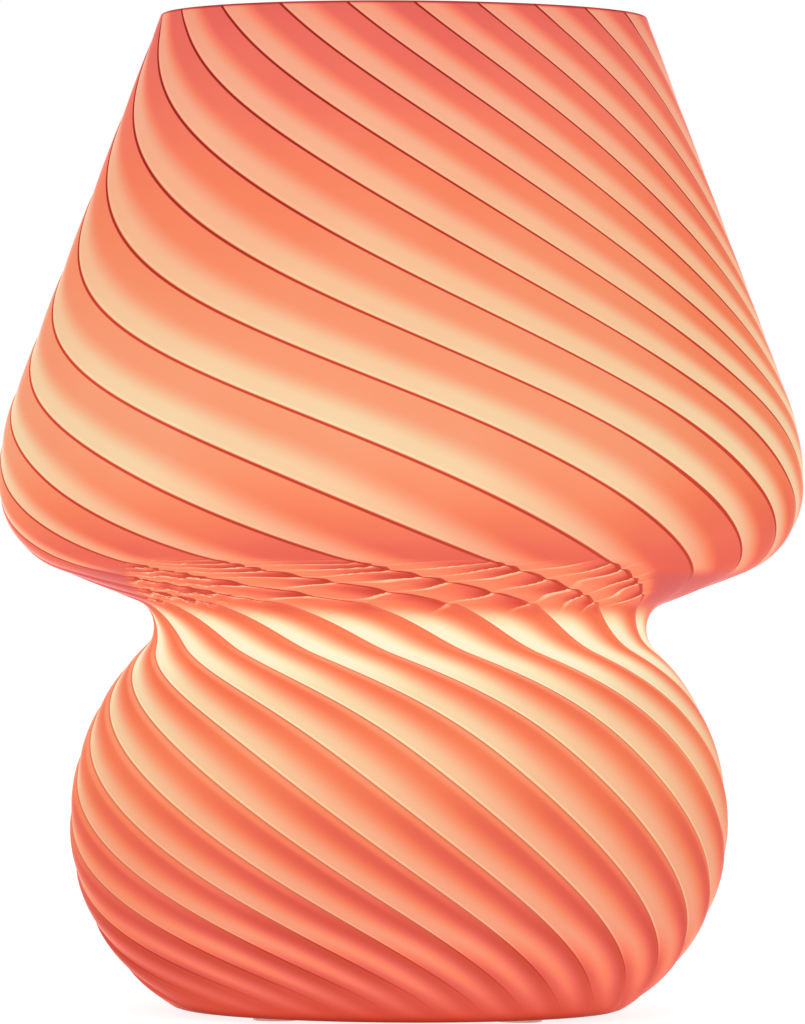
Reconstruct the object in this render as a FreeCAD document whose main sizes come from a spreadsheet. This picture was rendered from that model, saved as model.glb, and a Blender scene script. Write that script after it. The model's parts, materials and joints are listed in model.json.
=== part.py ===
import FreeCAD, Part
import math
import os
import re
import Sketcher

"""Mushroom table lamp: a blown glass body, a clamped stand with an E27 lampholder, an LED bulb.

Origin: on the table, on the glass body's axis. +Z is up, -Y is the front, +Y is the cord side.
Levels in the glass sizes are above the glass's own underside. LEVELS are above the table.
"""

# ---------------------------------------------------------------- driving dimensions (mm)

SIZES = {
    # glass body
    "glass_height": 222.0,
    "glass_wall": 3.0,
    "rim_radius": 54.3,
    "rim_edge_round": 0.9,
    "shade_radius": 90.0,
    "shade_level": 117.4,
    "shoulder_round": 55.1,
    "lip_round": 21.0,
    "neck_radius": 55.1,
    "neck_round": 6.2,
    "belly_radius": 73.6,
    "belly_level": 41.5,
    "belly_top_round": 54.6,
    "belly_low_round": 47.9,
    "heel_round": 4.5,
    "recess_radius": 27.0,
    "recess_depth": 6.5,
    "boss_rim": 4.0,
    "stud_hole_radius": 4.0,
    # feet and cord entry
    "pad_height": 1.0,
    "pad_radius": 5.0,
    "pad_ring": 38.0,
    "cord_level": 20.0,
    "cord_radius": 3.1,
    "cord_hole_radius": 5.0,
    "flange_radius": 7.2,
    "flange_height": 1.5,
    # clamp through the glass floor
    "fit_gap": 0.05,
    "stud_radius": 3.0,
    "stud_length": 16.0,
    "button_radius": 5.25,
    "button_height": 3.3,
    "hex_key_radius": 2.31,
    "hex_key_depth": 2.0,
    "washer_radius": 12.0,
    "washer_height": 1.2,
    "gasket_height": 1.5,
    "collar_height": 2.2,
    "disc_radius": 25.5,
    "plate_radius": 22.5,
    "plate_height": 1.5,
    "tab_width": 9.0,
    "tab_height": 9.5,
    "clamp_nut_radius": 5.77,
    "clamp_nut_height": 5.0,
    # stand cup and its nipple
    "cup_radius": 25.0,
    "cup_height": 26.0,
    "cup_wall": 2.0,
    "cup_edge": 1.5,
    "notch_width": 8.0,
    "notch_height": 9.0,
    "side_screw_radius": 1.5,
    "side_screw_level": 6.0,
    "side_screw_length": 7.0,
    "side_screw_head_radius": 2.8,
    "side_screw_head_height": 1.8,
    "nipple_radius": 5.0,
    "nipple_bore": 3.6,
    "nipple_length": 16.0,
    "nipple_nut_radius": 8.08,
    "nipple_nut_height": 3.0,
    # lampholder
    "cap_foot_radius": 9.5,
    "cap_foot_height": 5.5,
    "cap_shoulder": 10.0,
    "cap_height": 20.0,
    "cap_wall": 1.8,
    "ledge_level": 12.0,
    "ledge_radius": 14.5,
    "set_screw_radius": 2.0,
    "set_screw_level": 3.0,
    "insert_height": 6.0,
    "insert_play": 0.2,
    "core_hole_radius": 2.0,
    "terminal_length": 9.0,
    "terminal_width": 5.0,
    "terminal_height": 3.5,
    "terminal_offset": 9.5,
    "terminal_screw_radius": 1.4,
    "shell_wall": 0.6,
    "shell_bore": 13.3,
    "shell_height": 23.0,
    "shell_flange": 10.5,
    "skirt_height": 24.0,
    "spigot_wall": 1.5,
    "skirt_play": 1.1,
    "lip_play": 0.4,
    "skirt_lip_height": 1.5,
    "contact_rise": 3.0,
    "contact_width": 7.0,
    "contact_length": 16.0,
    "contact_sheet": 0.5,
    # rolled E27 thread
    "thread_pitch": 3.629,
    "thread_round": 0.95,
    "thread_start": 8.0,
    "thread_turns": 3.0,
    "thread_play": 1.15,
    # bulb
    "bulb_height": 78.0,
    "globe_radius": 22.5,
    "globe_wall": 1.2,
    "globe_collar": 2.2,
    "tip_radius": 4.7,
    "tip_height": 1.0,
    "pin_radius": 1.1,
    "pin_height": 6.0,
    "cone_foot_radius": 5.0,
    "cone_radius": 10.4,
    "cone_height": 3.0,
    "cone_rim_height": 2.0,
    "cap_tube_play": 1.25,
    "cap_tube_wall": 0.6,
    "cap_tube_height": 21.0,
    "spigot_length": 13.0,
    "housing_height": 21.0,
    "housing_foot_step": 1.15,
    "housing_foot_height": 4.0,
    "housing_band": 4.5,
    "housing_wall": 1.5,
    "sink_sheet": 1.0,
    "sink_play": 0.3,
    "sink_depth": 11.0,
    "board_sheet": 1.0,
    "board_radius": 16.3,
    "chip_ring": 11.0,
    "chip_length": 3.5,
    "chip_width": 2.8,
    "chip_height": 0.8,
    "board_screw_ring": 5.0,
    "board_screw_radius": 1.15,
    "board_screw_head_radius": 2.1,
    "board_screw_head_height": 1.2,
    "board_screw_length": 5.0,
    "driver_sheet": 1.2,
    "driver_height": 24.0,
    "driver_drop": 11.0,
    "driver_play": 0.3,
    "capacitor_radius": 3.9,
    "capacitor_height": 10.0,
    "coil_length": 8.0,
    "coil_depth": 6.0,
    "coil_height": 8.0,
    "driver_chip_length": 5.0,
    "driver_chip_depth": 1.5,
    "driver_chip_height": 4.0,
    "lead_radius": 0.4,
    "lead_offset": 8.0,
}
FOOT_PADS = 4
LED_CHIPS = 12

# Heights above the table, each worked out from the piece that it rests on.
LEVELS = {
    "recess_ceiling": "pad_height + recess_depth",
    "boss_top": "recess_ceiling + glass_wall",
    "washer_top": "recess_ceiling - gasket_height",
    "button_top": "washer_top - washer_height",
    "plate_bottom": "boss_top + gasket_height",
    "plate_top": "plate_bottom + plate_height",
    "cup_top": "plate_bottom + cup_height",
    "nipple_bottom": "cup_top - cup_wall - nipple_nut_height - fit_gap",
    "insert_bottom": "cup_top + ledge_level",
    "insert_top": "insert_bottom + insert_height",
    "skirt_bottom": "cup_top + cap_height",
    "skirt_top": "skirt_bottom + skirt_height",
    "bulb_tip": "insert_top + contact_rise",
    "cone_bottom": "bulb_tip + tip_height",
    "cone_top": "cone_bottom + cone_height",
    "cap_tube_top": "cone_top + cap_tube_height",
    "housing_top": "cap_tube_top + housing_height",
    "flare_top": "housing_top - housing_band",
    "board_top": "housing_top - globe_collar + fit_gap",
    "sink_top": "board_top - board_sheet",
    "globe_centre": "bulb_tip + bulb_height - globe_radius",
    "driver_bottom": "cap_tube_top - driver_drop",
    "driver_top": "driver_bottom + driver_height",
}

# Radii that follow from a fit between two pieces.
RADII = {
    "stud_bore": "stud_radius + fit_gap",
    "nipple_thread": "nipple_radius + fit_gap",
    "shell_outside": "shell_bore + shell_wall",
    "skirt_lip": "shell_outside + lip_play",
    "skirt_spigot": "shell_outside + skirt_play",
    "insert_radius": "skirt_spigot + spigot_wall",
    "cap_inside": "insert_radius + insert_play",
    "cap_radius": "cap_inside + cap_wall",
    "cap_tube_radius": "shell_bore - cap_tube_play",
    "cap_thread_path": "shell_bore - thread_play",
    "cap_tube_bore": "cap_tube_radius - cap_tube_wall",
    "spigot_radius": "cap_tube_bore - fit_gap",
    "spigot_bore": "spigot_radius - housing_wall",
    "housing_foot_radius": "cap_tube_radius + housing_foot_step",
    "globe_inside": "globe_radius - globe_wall",
    "globe_drop": "globe_centre - housing_top",
    "globe_mouth": "sqrt(globe_radius^2 - globe_drop^2)",
    "seat_radius": "globe_mouth - housing_wall",
    "collar_radius": "seat_radius - fit_gap",
    "collar_bore": "collar_radius - globe_wall",
    "lip_drop": "globe_drop - globe_wall",
    "lip_bore": "sqrt(globe_inside^2 - lip_drop^2)",
    "driver_width": "2 * (spigot_bore - driver_play)",
    "flare_rise": "housing_height - housing_foot_height - housing_band",
    "flare_slope": "(globe_mouth - housing_foot_radius) / flare_rise",
}

document = FreeCAD.newDocument("MushroomLamp")
sheet = document.addObject("Spreadsheet::Sheet", "Sizes")
finished = []


# ---------------------------------------------------------------- sizes and formulas

def fill_sheet():
    """Write every driving dimension into the sheet, under its own alias."""
    for row, (name, number) in enumerate(SIZES.items(), start=1):
        sheet.set(f"A{row}", name)
        sheet.set(f"B{row}", str(number))
        sheet.setAlias(f"B{row}", name)
    document.recompute()


def formula(text):
    """Turn a text of named sizes, levels and radii into an expression on the sheet."""
    def in_sheet(match):
        word = match.group(0)
        if word in SIZES:
            return f"Sizes.{word}"
        if word in LEVELS:
            return f"({formula(LEVELS[word])})"
        return f"({formula(RADII[word])})"
    return re.sub(r"[a-z]+(?:_[a-z]+)+", in_sheet, text)


def size(text):
    """Number that a text of named sizes stands for."""
    return float(sheet.evalExpression(formula(text)))


def bind(item, **texts):
    """Bind properties of an object to the sheet."""
    for name, text in texts.items():
        item.setExpression(name, formula(text))


def place(item, across="0", depth="0", up="0"):
    """Bind an object's position to the sheet."""
    for axis, text in zip("xyz", (across, depth, up)):
        if text != "0":
            item.setExpression(f"Placement.Base.{axis}", formula(text))
    return item


# ---------------------------------------------------------------- sketches and turned bodies

def new_body(label):
    """Empty body with a label of its own."""
    body = document.addObject("PartDesign::Body", label)
    body.Label = label
    return body


def new_sketch(body, name, role="XZ_Plane"):
    """Sketch on one of the body's own origin planes."""
    sketch = body.newObject("Sketcher::SketchObject", name)
    plane = [item for item in body.Origin.OriginFeatures if item.Role == role][0]
    sketch.AttachmentSupport = (plane, [""])
    sketch.MapMode = "FlatFace"
    return sketch


def flat(across, up):
    """Point in a sketch."""
    return FreeCAD.Vector(across, up, 0)


def set_distance(sketch, kind, geometry, point, text):
    """Bind one distance of a sketched point from the origin."""
    made = sketch.addConstraint(Sketcher.Constraint(kind, -1, 1, geometry, point, size(text)))
    sketch.setExpression(f"Constraints[{made}]", formula(text))


def pin(sketch, geometry, point, across, up):
    """Fix a point of a sketch at bound distances from the origin, or on an axis where one is 0."""
    for text, kind, axis in ((across, "DistanceX", -2), (up, "DistanceY", -1)):
        if text == "0":
            sketch.addConstraint(Sketcher.Constraint("PointOnObject", geometry, point, axis))
        else:
            set_distance(sketch, kind, geometry, point, text)


def set_radius(sketch, geometry, text):
    """Bind the radius of a sketched arc."""
    made = sketch.addConstraint(Sketcher.Constraint("Radius", geometry, size(text)))
    sketch.setExpression(f"Constraints[{made}]", formula(text))


def sketched_arc(centre, radius, start, end):
    """Arc from one angle to another, counterclockwise."""
    circle = Part.Circle(flat(*centre), FreeCAD.Vector(0, 0, 1), radius)
    return Part.ArcOfCircle(circle, start, end)


def arc_between(first, last, radius, counterclockwise):
    """Arc of less than half a circle between two points, and its first and last point's number."""
    middle = (first + last) / 2
    chord = last - first
    side = FreeCAD.Vector(-chord.y, chord.x, 0).normalize()
    reach = math.sqrt(radius ** 2 - (chord.Length / 2) ** 2)
    centre = middle + side * (reach if counterclockwise else -reach)
    ends = (first, last) if counterclockwise else (last, first)
    angles = [math.atan2(end.y - centre.y, end.x - centre.x) for end in ends]
    arc = sketched_arc((centre.x, centre.y), radius, *angles)
    return arc, ((1, 2) if counterclockwise else (2, 1))


def draw_outline(sketch, corners, arcs):
    """Closed outline through bound corners.

    arcs maps the number of the corner where an arc starts to its radius and turning direction.
    """
    points = [flat(size(across), size(up)) for across, up in corners]
    ends = []
    for number, first in enumerate(points):
        last = points[(number + 1) % len(points)]
        if number in arcs:
            radius, counterclockwise = arcs[number]
            shape, order = arc_between(first, last, size(radius), counterclockwise)
        else:
            shape, order = Part.LineSegment(first, last), (1, 2)
        sketch.addGeometry(shape)
        ends.append(order)
    for number, (across, up) in enumerate(corners):
        following = (number + 1) % len(corners)
        joint = Sketcher.Constraint(
            "Coincident", number, ends[number][1], following, ends[following][0])
        sketch.addConstraint(joint)
        pin(sketch, number, ends[number][0], across, up)
    for number, (radius, _) in arcs.items():
        set_radius(sketch, number, radius)


def turned(label, corners, arcs=None):
    """Body turned about the Z axis from an outline of (radius, height) corners."""
    body = new_body(label)
    sketch = new_sketch(body, f"{label}_outline")
    draw_outline(sketch, corners, arcs or {})
    revolve(body, sketch)
    return body


def revolve(body, sketch):
    """Full turn of a sketch about its own vertical axis."""
    turn = body.newObject("PartDesign::Revolution", f"{body.Name}_turn")
    turn.Profile = sketch
    turn.ReferenceAxis = (sketch, ["V_Axis"])
    turn.Angle = 360
    return turn


def ring(label, inner, outer, bottom, height):
    """Flat ring or tube."""
    top = f"{bottom} + {height}"
    return turned(label, [(inner, bottom), (outer, bottom), (outer, top), (inner, top)])


# ---------------------------------------------------------------- primitives and booleans

def block(label, length, width, height):
    """Box whose corner is moved by place."""
    item = document.addObject("Part::Box", label)
    bind(item, Length=length, Width=width, Height=height)
    return item


def rod(label, radius, height, along=None):
    """Cylinder from its own origin along Z, or along X or Y."""
    item = document.addObject("Part::Cylinder", label)
    bind(item, Radius=radius, Height=height)
    if along == "x":
        item.Placement.Rotation = FreeCAD.Rotation(FreeCAD.Vector(0, 1, 0), 90)
    if along == "y":
        item.Placement.Rotation = FreeCAD.Rotation(FreeCAD.Vector(1, 0, 0), -90)
    return item


def hexagon(label, radius, height):
    """Hexagonal prism, by its corner radius."""
    item = document.addObject("Part::Prism", label)
    item.Polygon = 6
    bind(item, Circumradius=radius, Height=height)
    return item


def group(label, items):
    """Several solids that share one node."""
    item = document.addObject("Part::Compound", label)
    item.Links = items
    return item


def cut(label, base, tools):
    """Base with one or more tools cut away."""
    tool = tools[0]
    if len(tools) > 1:
        tool = group(f"{label}_cuts", tools)
    item = document.addObject("Part::Cut", label)
    item.Base = base
    item.Tool = tool
    return item


def fuse(label, items):
    """Pieces made in one."""
    item = document.addObject("Part::MultiFuse", label)
    item.Shapes = items
    return item


def finish(item, node):
    """List an object as a finished piece under its node's name."""
    item.Label = node
    finished.append(item)
    return item


def helix_ridge(label, path_radius, start, round_radius, turns):
    """Round ridge along a right-hand helix that starts on the +X side."""
    path = document.addObject("Part::Helix", f"{label}_path")
    bind(path, Pitch="thread_pitch", Height=f"thread_pitch * {turns}", Radius=path_radius)
    place(path, up=start)
    section = document.addObject("Part::Circle", f"{label}_section")
    bind(section, Radius=round_radius)
    section.Placement.Rotation = FreeCAD.Rotation(FreeCAD.Vector(1, 0, 0), 90)
    place(section, across=path_radius, up=start)
    ridge = document.addObject("Part::Sweep", label)
    ridge.Sections = [section]
    ridge.Spine = (path, [])
    ridge.Solid = True
    ridge.Frenet = True
    return ridge


# ---------------------------------------------------------------- glass body

def glass_outline(sketch):
    """Outer outline of the glass: a cone into the shoulder, the lip, the neck and the belly.

    Each stretch runs on smoothly from the one before, so the meeting points follow from tangency.
    """
    top = size("glass_height")
    shoulder = (size("shade_radius - shoulder_round"), size("shade_level"))
    lip = (size("shade_radius - lip_round"), size("shade_level"))
    crown = (size("belly_radius - belly_top_round"), size("belly_level"))
    bowl = (size("belly_radius - belly_low_round"), size("belly_level"))
    radii = {name: size(f"{name}_round")
             for name in ("shoulder", "lip", "neck", "belly_top", "belly_low", "heel")}

    neck_across = size("neck_radius + neck_round")
    neck_rise = math.sqrt((radii["neck"] + radii["belly_top"]) ** 2 - (neck_across - crown[0]) ** 2)
    neck = (neck_across, crown[1] + neck_rise)
    heel_run = math.sqrt((radii["belly_low"] - radii["heel"]) ** 2 - (bowl[1] - radii["heel"]) ** 2)
    heel = (bowl[0] + heel_run, radii["heel"])

    rim = (size("rim_radius"), top)
    to_rim = math.atan2(rim[1] - shoulder[1], rim[0] - shoulder[0])
    shoulder_end = to_rim - math.acos(radii["shoulder"] / math.dist(rim, shoulder))
    to_neck = math.atan2(neck[1] - lip[1], neck[0] - lip[0])
    spread = math.acos((radii["lip"] + radii["neck"]) / math.dist(lip, neck))
    lip_start = to_neck + spread
    neck_end = math.atan2(neck[1] - crown[1], neck[0] - crown[0])
    heel_end = math.atan2(heel[1] - bowl[1], heel[0] - bowl[0])

    def on_arc(centre, radius, angle):
        return flat(centre[0] + radius * math.cos(angle), centre[1] + radius * math.sin(angle))

    cone_foot = on_arc(shoulder, radii["shoulder"], shoulder_end)
    lip_foot = on_arc(lip, radii["lip"], lip_start)
    neck_top = on_arc(neck, -radii["neck"], lip_start)
    cone, shoulder_arc, lip_arc, under, neck_arc, crown_arc, bowl_arc, heel_arc, floor, axis, mouth = (
        sketch.addGeometry([
            Part.LineSegment(flat(*rim), cone_foot),
            sketched_arc(shoulder, radii["shoulder"], 0, shoulder_end),
            sketched_arc(lip, radii["lip"], lip_start, 0),
            Part.LineSegment(lip_foot, neck_top),
            sketched_arc(neck, radii["neck"], lip_start + math.pi, neck_end + math.pi),
            sketched_arc(crown, radii["belly_top"], 0, neck_end),
            sketched_arc(bowl, radii["belly_low"], heel_end, 0),
            sketched_arc(heel, radii["heel"], -math.pi / 2, heel_end),
            Part.LineSegment(flat(heel[0], 0), flat(0, 0)),
            Part.LineSegment(flat(0, 0), flat(0, top)),
            Part.LineSegment(flat(0, top), flat(*rim)),
        ]))
    smooth = [(cone, 2, shoulder_arc, 2), (shoulder_arc, 1, lip_arc, 2), (lip_arc, 1, under, 1),
              (under, 2, neck_arc, 1), (neck_arc, 2, crown_arc, 2), (crown_arc, 1, bowl_arc, 2),
              (bowl_arc, 1, heel_arc, 2), (heel_arc, 1, floor, 1)]
    for join in smooth:
        sketch.addConstraint(Sketcher.Constraint("Tangent", *join))
    for join in [(floor, 2, -1, 1), (floor, 2, axis, 1), (axis, 2, mouth, 1), (mouth, 2, cone, 1)]:
        sketch.addConstraint(Sketcher.Constraint("Coincident", *join))
    sketch.addConstraint(Sketcher.Constraint("PointOnObject", floor, 1, -1))
    sketch.addConstraint(Sketcher.Constraint("PointOnObject", axis, 2, -2))
    sketch.addConstraint(Sketcher.Constraint("Horizontal", mouth))
    pin(sketch, cone, 1, "rim_radius", "glass_height")
    for geometry, name in ((shoulder_arc, "shoulder"), (lip_arc, "lip"), (neck_arc, "neck"),
                           (crown_arc, "belly_top"), (bowl_arc, "belly_low"), (heel_arc, "heel")):
        set_radius(sketch, geometry, f"{name}_round")
    centre = 3
    pin(sketch, shoulder_arc, centre, "shade_radius - shoulder_round", "shade_level")
    pin(sketch, crown_arc, centre, "belly_radius - belly_top_round", "belly_level")
    set_distance(sketch, "DistanceY", shoulder_arc, 1, "shade_level")
    set_distance(sketch, "DistanceY", crown_arc, 1, "belly_level")
    set_distance(sketch, "DistanceX", neck_arc, centre, "neck_radius + neck_round")


def flat_face(shape, level):
    """Name of the flat face at a level."""
    for number, face in enumerate(shape.Faces, start=1):
        box = face.BoundBox
        if abs(box.ZMax - level) < 1e-6 and box.ZLength < 1e-6:
            return f"Face{number}"
    raise ValueError(f"no flat face at {level}")


def rim_edges(shape, level):
    """Names of the edges at a level."""
    return [f"Edge{number}" for number, edge in enumerate(shape.Edges, start=1)
            if edge.BoundBox.ZMin > level - 1e-6]


def cord_angle():
    """Degrees by which the cord hole points down, square to the glass there."""
    return math.degrees(math.asin(size("(belly_level - cord_level) / belly_low_round")))


def cord_turn():
    """Rotation that points an object's own Z axis out of the cord hole."""
    return FreeCAD.Rotation(FreeCAD.Vector(1, 0, 0), -90 - cord_angle())


def cord_mouth():
    """Point on the outside of the glass at the middle of the cord hole."""
    reach = size("belly_low_round") * math.cos(math.radians(cord_angle()))
    return FreeCAD.Vector(0, size("belly_radius - belly_low_round") + reach,
                          size("pad_height + cord_level"))


def make_glass():
    """Glass shell with its open ground rim, clamped floor and drilled cord hole."""
    body = new_body("glass_body")
    sketch = new_sketch(body, "glass_outline")
    glass_outline(sketch)
    solid = revolve(body, sketch)
    document.recompute()

    hollow = body.newObject("PartDesign::Thickness", "glass_hollow")
    hollow.Base = (solid, [flat_face(solid.Shape, size("glass_height"))])
    bind(hollow, Value="glass_wall")
    hollow.Reversed = True
    document.recompute()

    boss = body.newObject("PartDesign::AdditiveCylinder", "glass_boss")
    bind(boss, Radius="recess_radius + boss_rim", Height="recess_depth + glass_wall")
    recess = body.newObject("PartDesign::SubtractiveCylinder", "glass_recess")
    bind(recess, Radius="recess_radius", Height="recess_depth")
    stud_hole = body.newObject("PartDesign::SubtractiveCylinder", "stud_hole")
    bind(stud_hole, Radius="stud_hole_radius", Height="recess_depth + 2 * glass_wall")

    cord_hole = body.newObject("PartDesign::SubtractiveCylinder", "cord_hole")
    bind(cord_hole, Radius="cord_hole_radius", Height="4 * glass_wall")
    middle = cord_mouth() - FreeCAD.Vector(0, 0, size("pad_height"))
    inwards = cord_turn().multVec(FreeCAD.Vector(0, 0, -size("2 * glass_wall")))
    cord_hole.Placement = FreeCAD.Placement(middle + inwards, cord_turn())
    document.recompute()

    rim = body.newObject("PartDesign::Fillet", "rim_round")
    rim.Base = (cord_hole, rim_edges(cord_hole.Shape, size("glass_height")))
    bind(rim, Radius="rim_edge_round")
    place(body, up="pad_height")
    finish(body, "glass_body")


def make_feet():
    """Clear pads on the flat ring under the glass."""
    pads = []
    for number in range(FOOT_PADS):
        angle = math.pi / 4 + number * 2 * math.pi / FOOT_PADS
        pad = rod(f"pad_{number + 1}", "pad_radius", "pad_height")
        place(pad, f"pad_ring * {math.cos(angle)}", f"pad_ring * {math.sin(angle)}")
        pads.append(pad)
    finish(group("pads", pads), "foot_pads")


def make_grommet():
    """Rubber grommet with a flange on each side of the glass, square to the wall."""
    sag = "(flange_radius^2 / (2 * (belly_low_round - glass_wall)))"
    inside = f"glass_wall + {sag} + 2 * fit_gap"
    shank = "cord_hole_radius - fit_gap"
    corners = [("cord_radius", "0"), ("flange_radius", "0"),
               ("flange_radius", "flange_height"), (shank, "flange_height"),
               (shank, f"flange_height + {inside}"), ("flange_radius", f"flange_height + {inside}"),
               ("flange_radius", f"2 * flange_height + {inside}"),
               ("cord_radius", f"2 * flange_height + {inside}")]
    grommet = turned("grommet", corners)
    turn = cord_turn()
    inner_face = turn.multVec(FreeCAD.Vector(0, 0, -size(f"flange_height + {inside}")))
    grommet.Placement = FreeCAD.Placement(cord_mouth() + inner_face, turn)
    finish(grommet, "cord_grommet")


# ---------------------------------------------------------------- clamp and stand

def make_clamp():
    """Screw, washer, gaskets, plate and nut that grip the glass floor."""
    button = turned("stud", [
        ("0", "button_top - button_height"), ("button_radius * 0.62", "button_top - button_height"),
        ("button_radius * 0.9", "button_top - button_height * 0.6"),
        ("button_radius", "button_top - button_height * 0.15"), ("button_radius", "button_top"),
        ("stud_radius", "button_top"), ("stud_radius", "button_top + stud_length - stud_radius / 4"),
        ("stud_radius * 0.75", "button_top + stud_length"), ("0", "button_top + stud_length")])
    socket = hexagon("stud_socket", "hex_key_radius", "hex_key_depth")
    place(socket, up="button_top - button_height")
    finish(cut("stud_with_socket", button, [socket]), "clamp_screw")

    finish(ring("washer", "stud_bore", "washer_radius", "button_top", "washer_height"), "clamp_washer")
    gasket = turned("low_gasket", [
        ("stud_bore", "washer_top"), ("washer_radius", "washer_top"),
        ("washer_radius", "recess_ceiling"), ("stud_hole_radius - fit_gap", "recess_ceiling"),
        ("stud_hole_radius - fit_gap", "recess_ceiling + collar_height"),
        ("stud_bore", "recess_ceiling + collar_height")])
    finish(gasket, "lower_gasket")
    finish(ring("disc", "stud_bore", "disc_radius", "boss_top", "gasket_height"), "upper_gasket")

    plate = ring("plate", "stud_bore", "plate_radius", "plate_bottom", "plate_height")
    tab_reach = "sqrt(plate_radius^2 - (tab_width / 2)^2)"
    tabs = []
    for name, start in (("right", f"{tab_reach} - plate_height"), ("left", f"-1 * {tab_reach}")):
        tab = block(f"tab_{name}", "plate_height", "tab_width", "tab_height + plate_height / 2")
        tabs.append(place(tab, start, "-0.5 * tab_width", "plate_top - plate_height / 2"))
    hole = rod("tab_holes", "side_screw_radius + fit_gap", "2 * cup_radius", along="x")
    place(hole, "-1 * cup_radius", up="plate_top + side_screw_level")
    finish(cut("plate_with_tabs", fuse("plate_and_tabs", [plate, *tabs]), [hole]), "base_plate")

    nut = hexagon("nut", "clamp_nut_radius", "clamp_nut_height")
    bore = rod("nut_bore", "stud_bore", "clamp_nut_height")
    for item in (nut, bore):
        place(item, up="plate_top")
    finish(cut("nut_with_bore", nut, [bore]), "clamp_nut")


def make_cup():
    """Cup over the plate, with a notch for the cord, and its two side screws."""
    inside = "cup_radius - cup_wall"
    cup = turned("cup", [
        ("cup_radius", "plate_bottom"), ("cup_radius", "cup_top - cup_edge"),
        ("cup_radius - cup_edge", "cup_top"), ("nipple_thread", "cup_top"),
        ("nipple_thread", "cup_top - cup_wall"), (inside, "cup_top - cup_wall"),
        (inside, "plate_bottom")])
    notch = block("cup_notch", "notch_width", "cup_radius", "notch_height")
    place(notch, "-0.5 * notch_width", "cup_wall", "plate_bottom")
    holes = rod("cup_holes", "side_screw_radius + 2 * fit_gap", "2 * cup_radius", along="x")
    place(holes, "-1 * cup_radius", up="plate_top + side_screw_level")
    finish(cut("cup_with_holes", cup, [notch, holes]), "stand_cup")

    length = "side_screw_head_height + side_screw_length"
    screws = []
    for name, side in (("right", 1), ("left", -1)):
        screw = turned(f"side_screw_{name}", [
            ("0", "0"), ("side_screw_radius", "0"), ("side_screw_radius", "side_screw_length"),
            ("side_screw_head_radius", "side_screw_length"),
            ("side_screw_head_radius", f"{length} - side_screw_head_height / 3"),
            ("side_screw_head_radius * 0.7", length), ("0", length)])
        slot = block(f"screw_slot_{name}", "2 * side_screw_head_radius", "side_screw_radius / 2",
                     "side_screw_head_height / 2")
        place(slot, "-1 * side_screw_head_radius", "-0.25 * side_screw_radius",
              f"{length} - side_screw_head_height / 2")
        slotted = cut(f"slotted_screw_{name}", screw, [slot])
        slotted.Placement.Rotation = FreeCAD.Rotation(FreeCAD.Vector(0, 1, 0), 90 * side)
        place(slotted, f"{side} * (cup_radius - side_screw_length)", up="plate_top + side_screw_level")
        screws.append(slotted)
    finish(group("side_screws", screws), "cup_screws")


def make_nipple():
    """Hollow threaded tube that joins cup and lampholder, and its lock nut."""
    finish(ring("tube", "nipple_bore", "nipple_radius", "nipple_bottom", "nipple_length"), "nipple")
    nut = hexagon("tube_nut", "nipple_nut_radius", "nipple_nut_height")
    bore = rod("tube_nut_bore", "nipple_thread", "nipple_nut_height")
    for item in (nut, bore):
        place(item, up="cup_top - cup_wall - nipple_nut_height")
    finish(cut("tube_nut_with_bore", nut, [bore]), "nipple_nut")


# ---------------------------------------------------------------- lampholder

def make_holder_cap():
    """Lower half of the lampholder, screwed on the nipple and held by a set screw."""
    cap = turned("cap", [
        ("nipple_thread", "cup_top"), ("cap_foot_radius", "cup_top"),
        ("cap_foot_radius", "cup_top + cap_foot_height"), ("cap_radius", "cup_top + cap_shoulder"),
        ("cap_radius", "skirt_bottom"), ("cap_inside", "skirt_bottom"),
        ("cap_inside", "insert_bottom"), ("ledge_radius", "insert_bottom"),
        ("cap_foot_radius", "insert_bottom - cap_wall"), ("nipple_thread", "insert_bottom - cap_wall")])
    hole = rod("set_screw_hole", "set_screw_radius + fit_gap", "cap_foot_radius", along="x")
    place(hole, "nipple_radius / 2", up="cup_top + set_screw_level")
    finish(cut("cap_with_hole", cap, [hole]), "holder_cap")

    screw = rod("set_screw", "set_screw_radius", "cap_foot_radius - nipple_thread - 0.3", along="x")
    place(screw, "nipple_thread", up="cup_top + set_screw_level")
    socket = hexagon("set_screw_socket", "set_screw_radius / 2", "set_screw_radius")
    socket.Placement.Rotation = FreeCAD.Rotation(FreeCAD.Vector(0, 1, 0), 90)
    place(socket, "cap_foot_radius - set_screw_radius", up="cup_top + set_screw_level")
    finish(cut("set_screw_with_socket", screw, [socket]), "holder_set_screw")


def make_insert():
    """Moulded core with its brass terminals and their screws, set in from below."""
    core = ring("core", "core_hole_radius", "insert_radius", "insert_bottom", "insert_height")
    pockets = []
    blocks = []
    screws = []
    for name, side in (("live", 1), ("neutral", -1)):
        start = f"{side} * terminal_offset - terminal_width / 2"
        pocket = block(f"pocket_{name}", "terminal_width + 2 * fit_gap",
                       "terminal_length + 2 * fit_gap", "terminal_height")
        pockets.append(place(pocket, f"{start} - fit_gap", "-0.5 * terminal_length - fit_gap",
                             "insert_bottom"))
        terminal = block(f"terminal_{name}", "terminal_width", "terminal_length", "terminal_height")
        place(terminal, start, "-0.5 * terminal_length", "insert_bottom")
        hole = rod(f"terminal_hole_{name}", "terminal_screw_radius + fit_gap", "terminal_height")
        place(hole, f"{side} * terminal_offset", "terminal_length / 5", "insert_bottom")
        blocks.append(cut(f"terminal_block_{name}", terminal, [hole]))
        screw = rod(f"terminal_pin_{name}", "terminal_screw_radius", "terminal_height")
        place(screw, f"{side} * terminal_offset", "terminal_length / 5", "insert_bottom")
        screws.append(screw)
    finish(cut("core_with_pockets", core, pockets), "holder_insert")
    finish(group("terminal_blocks", blocks), "holder_terminals")
    finish(group("terminal_pins", screws), "terminal_screws")


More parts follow.
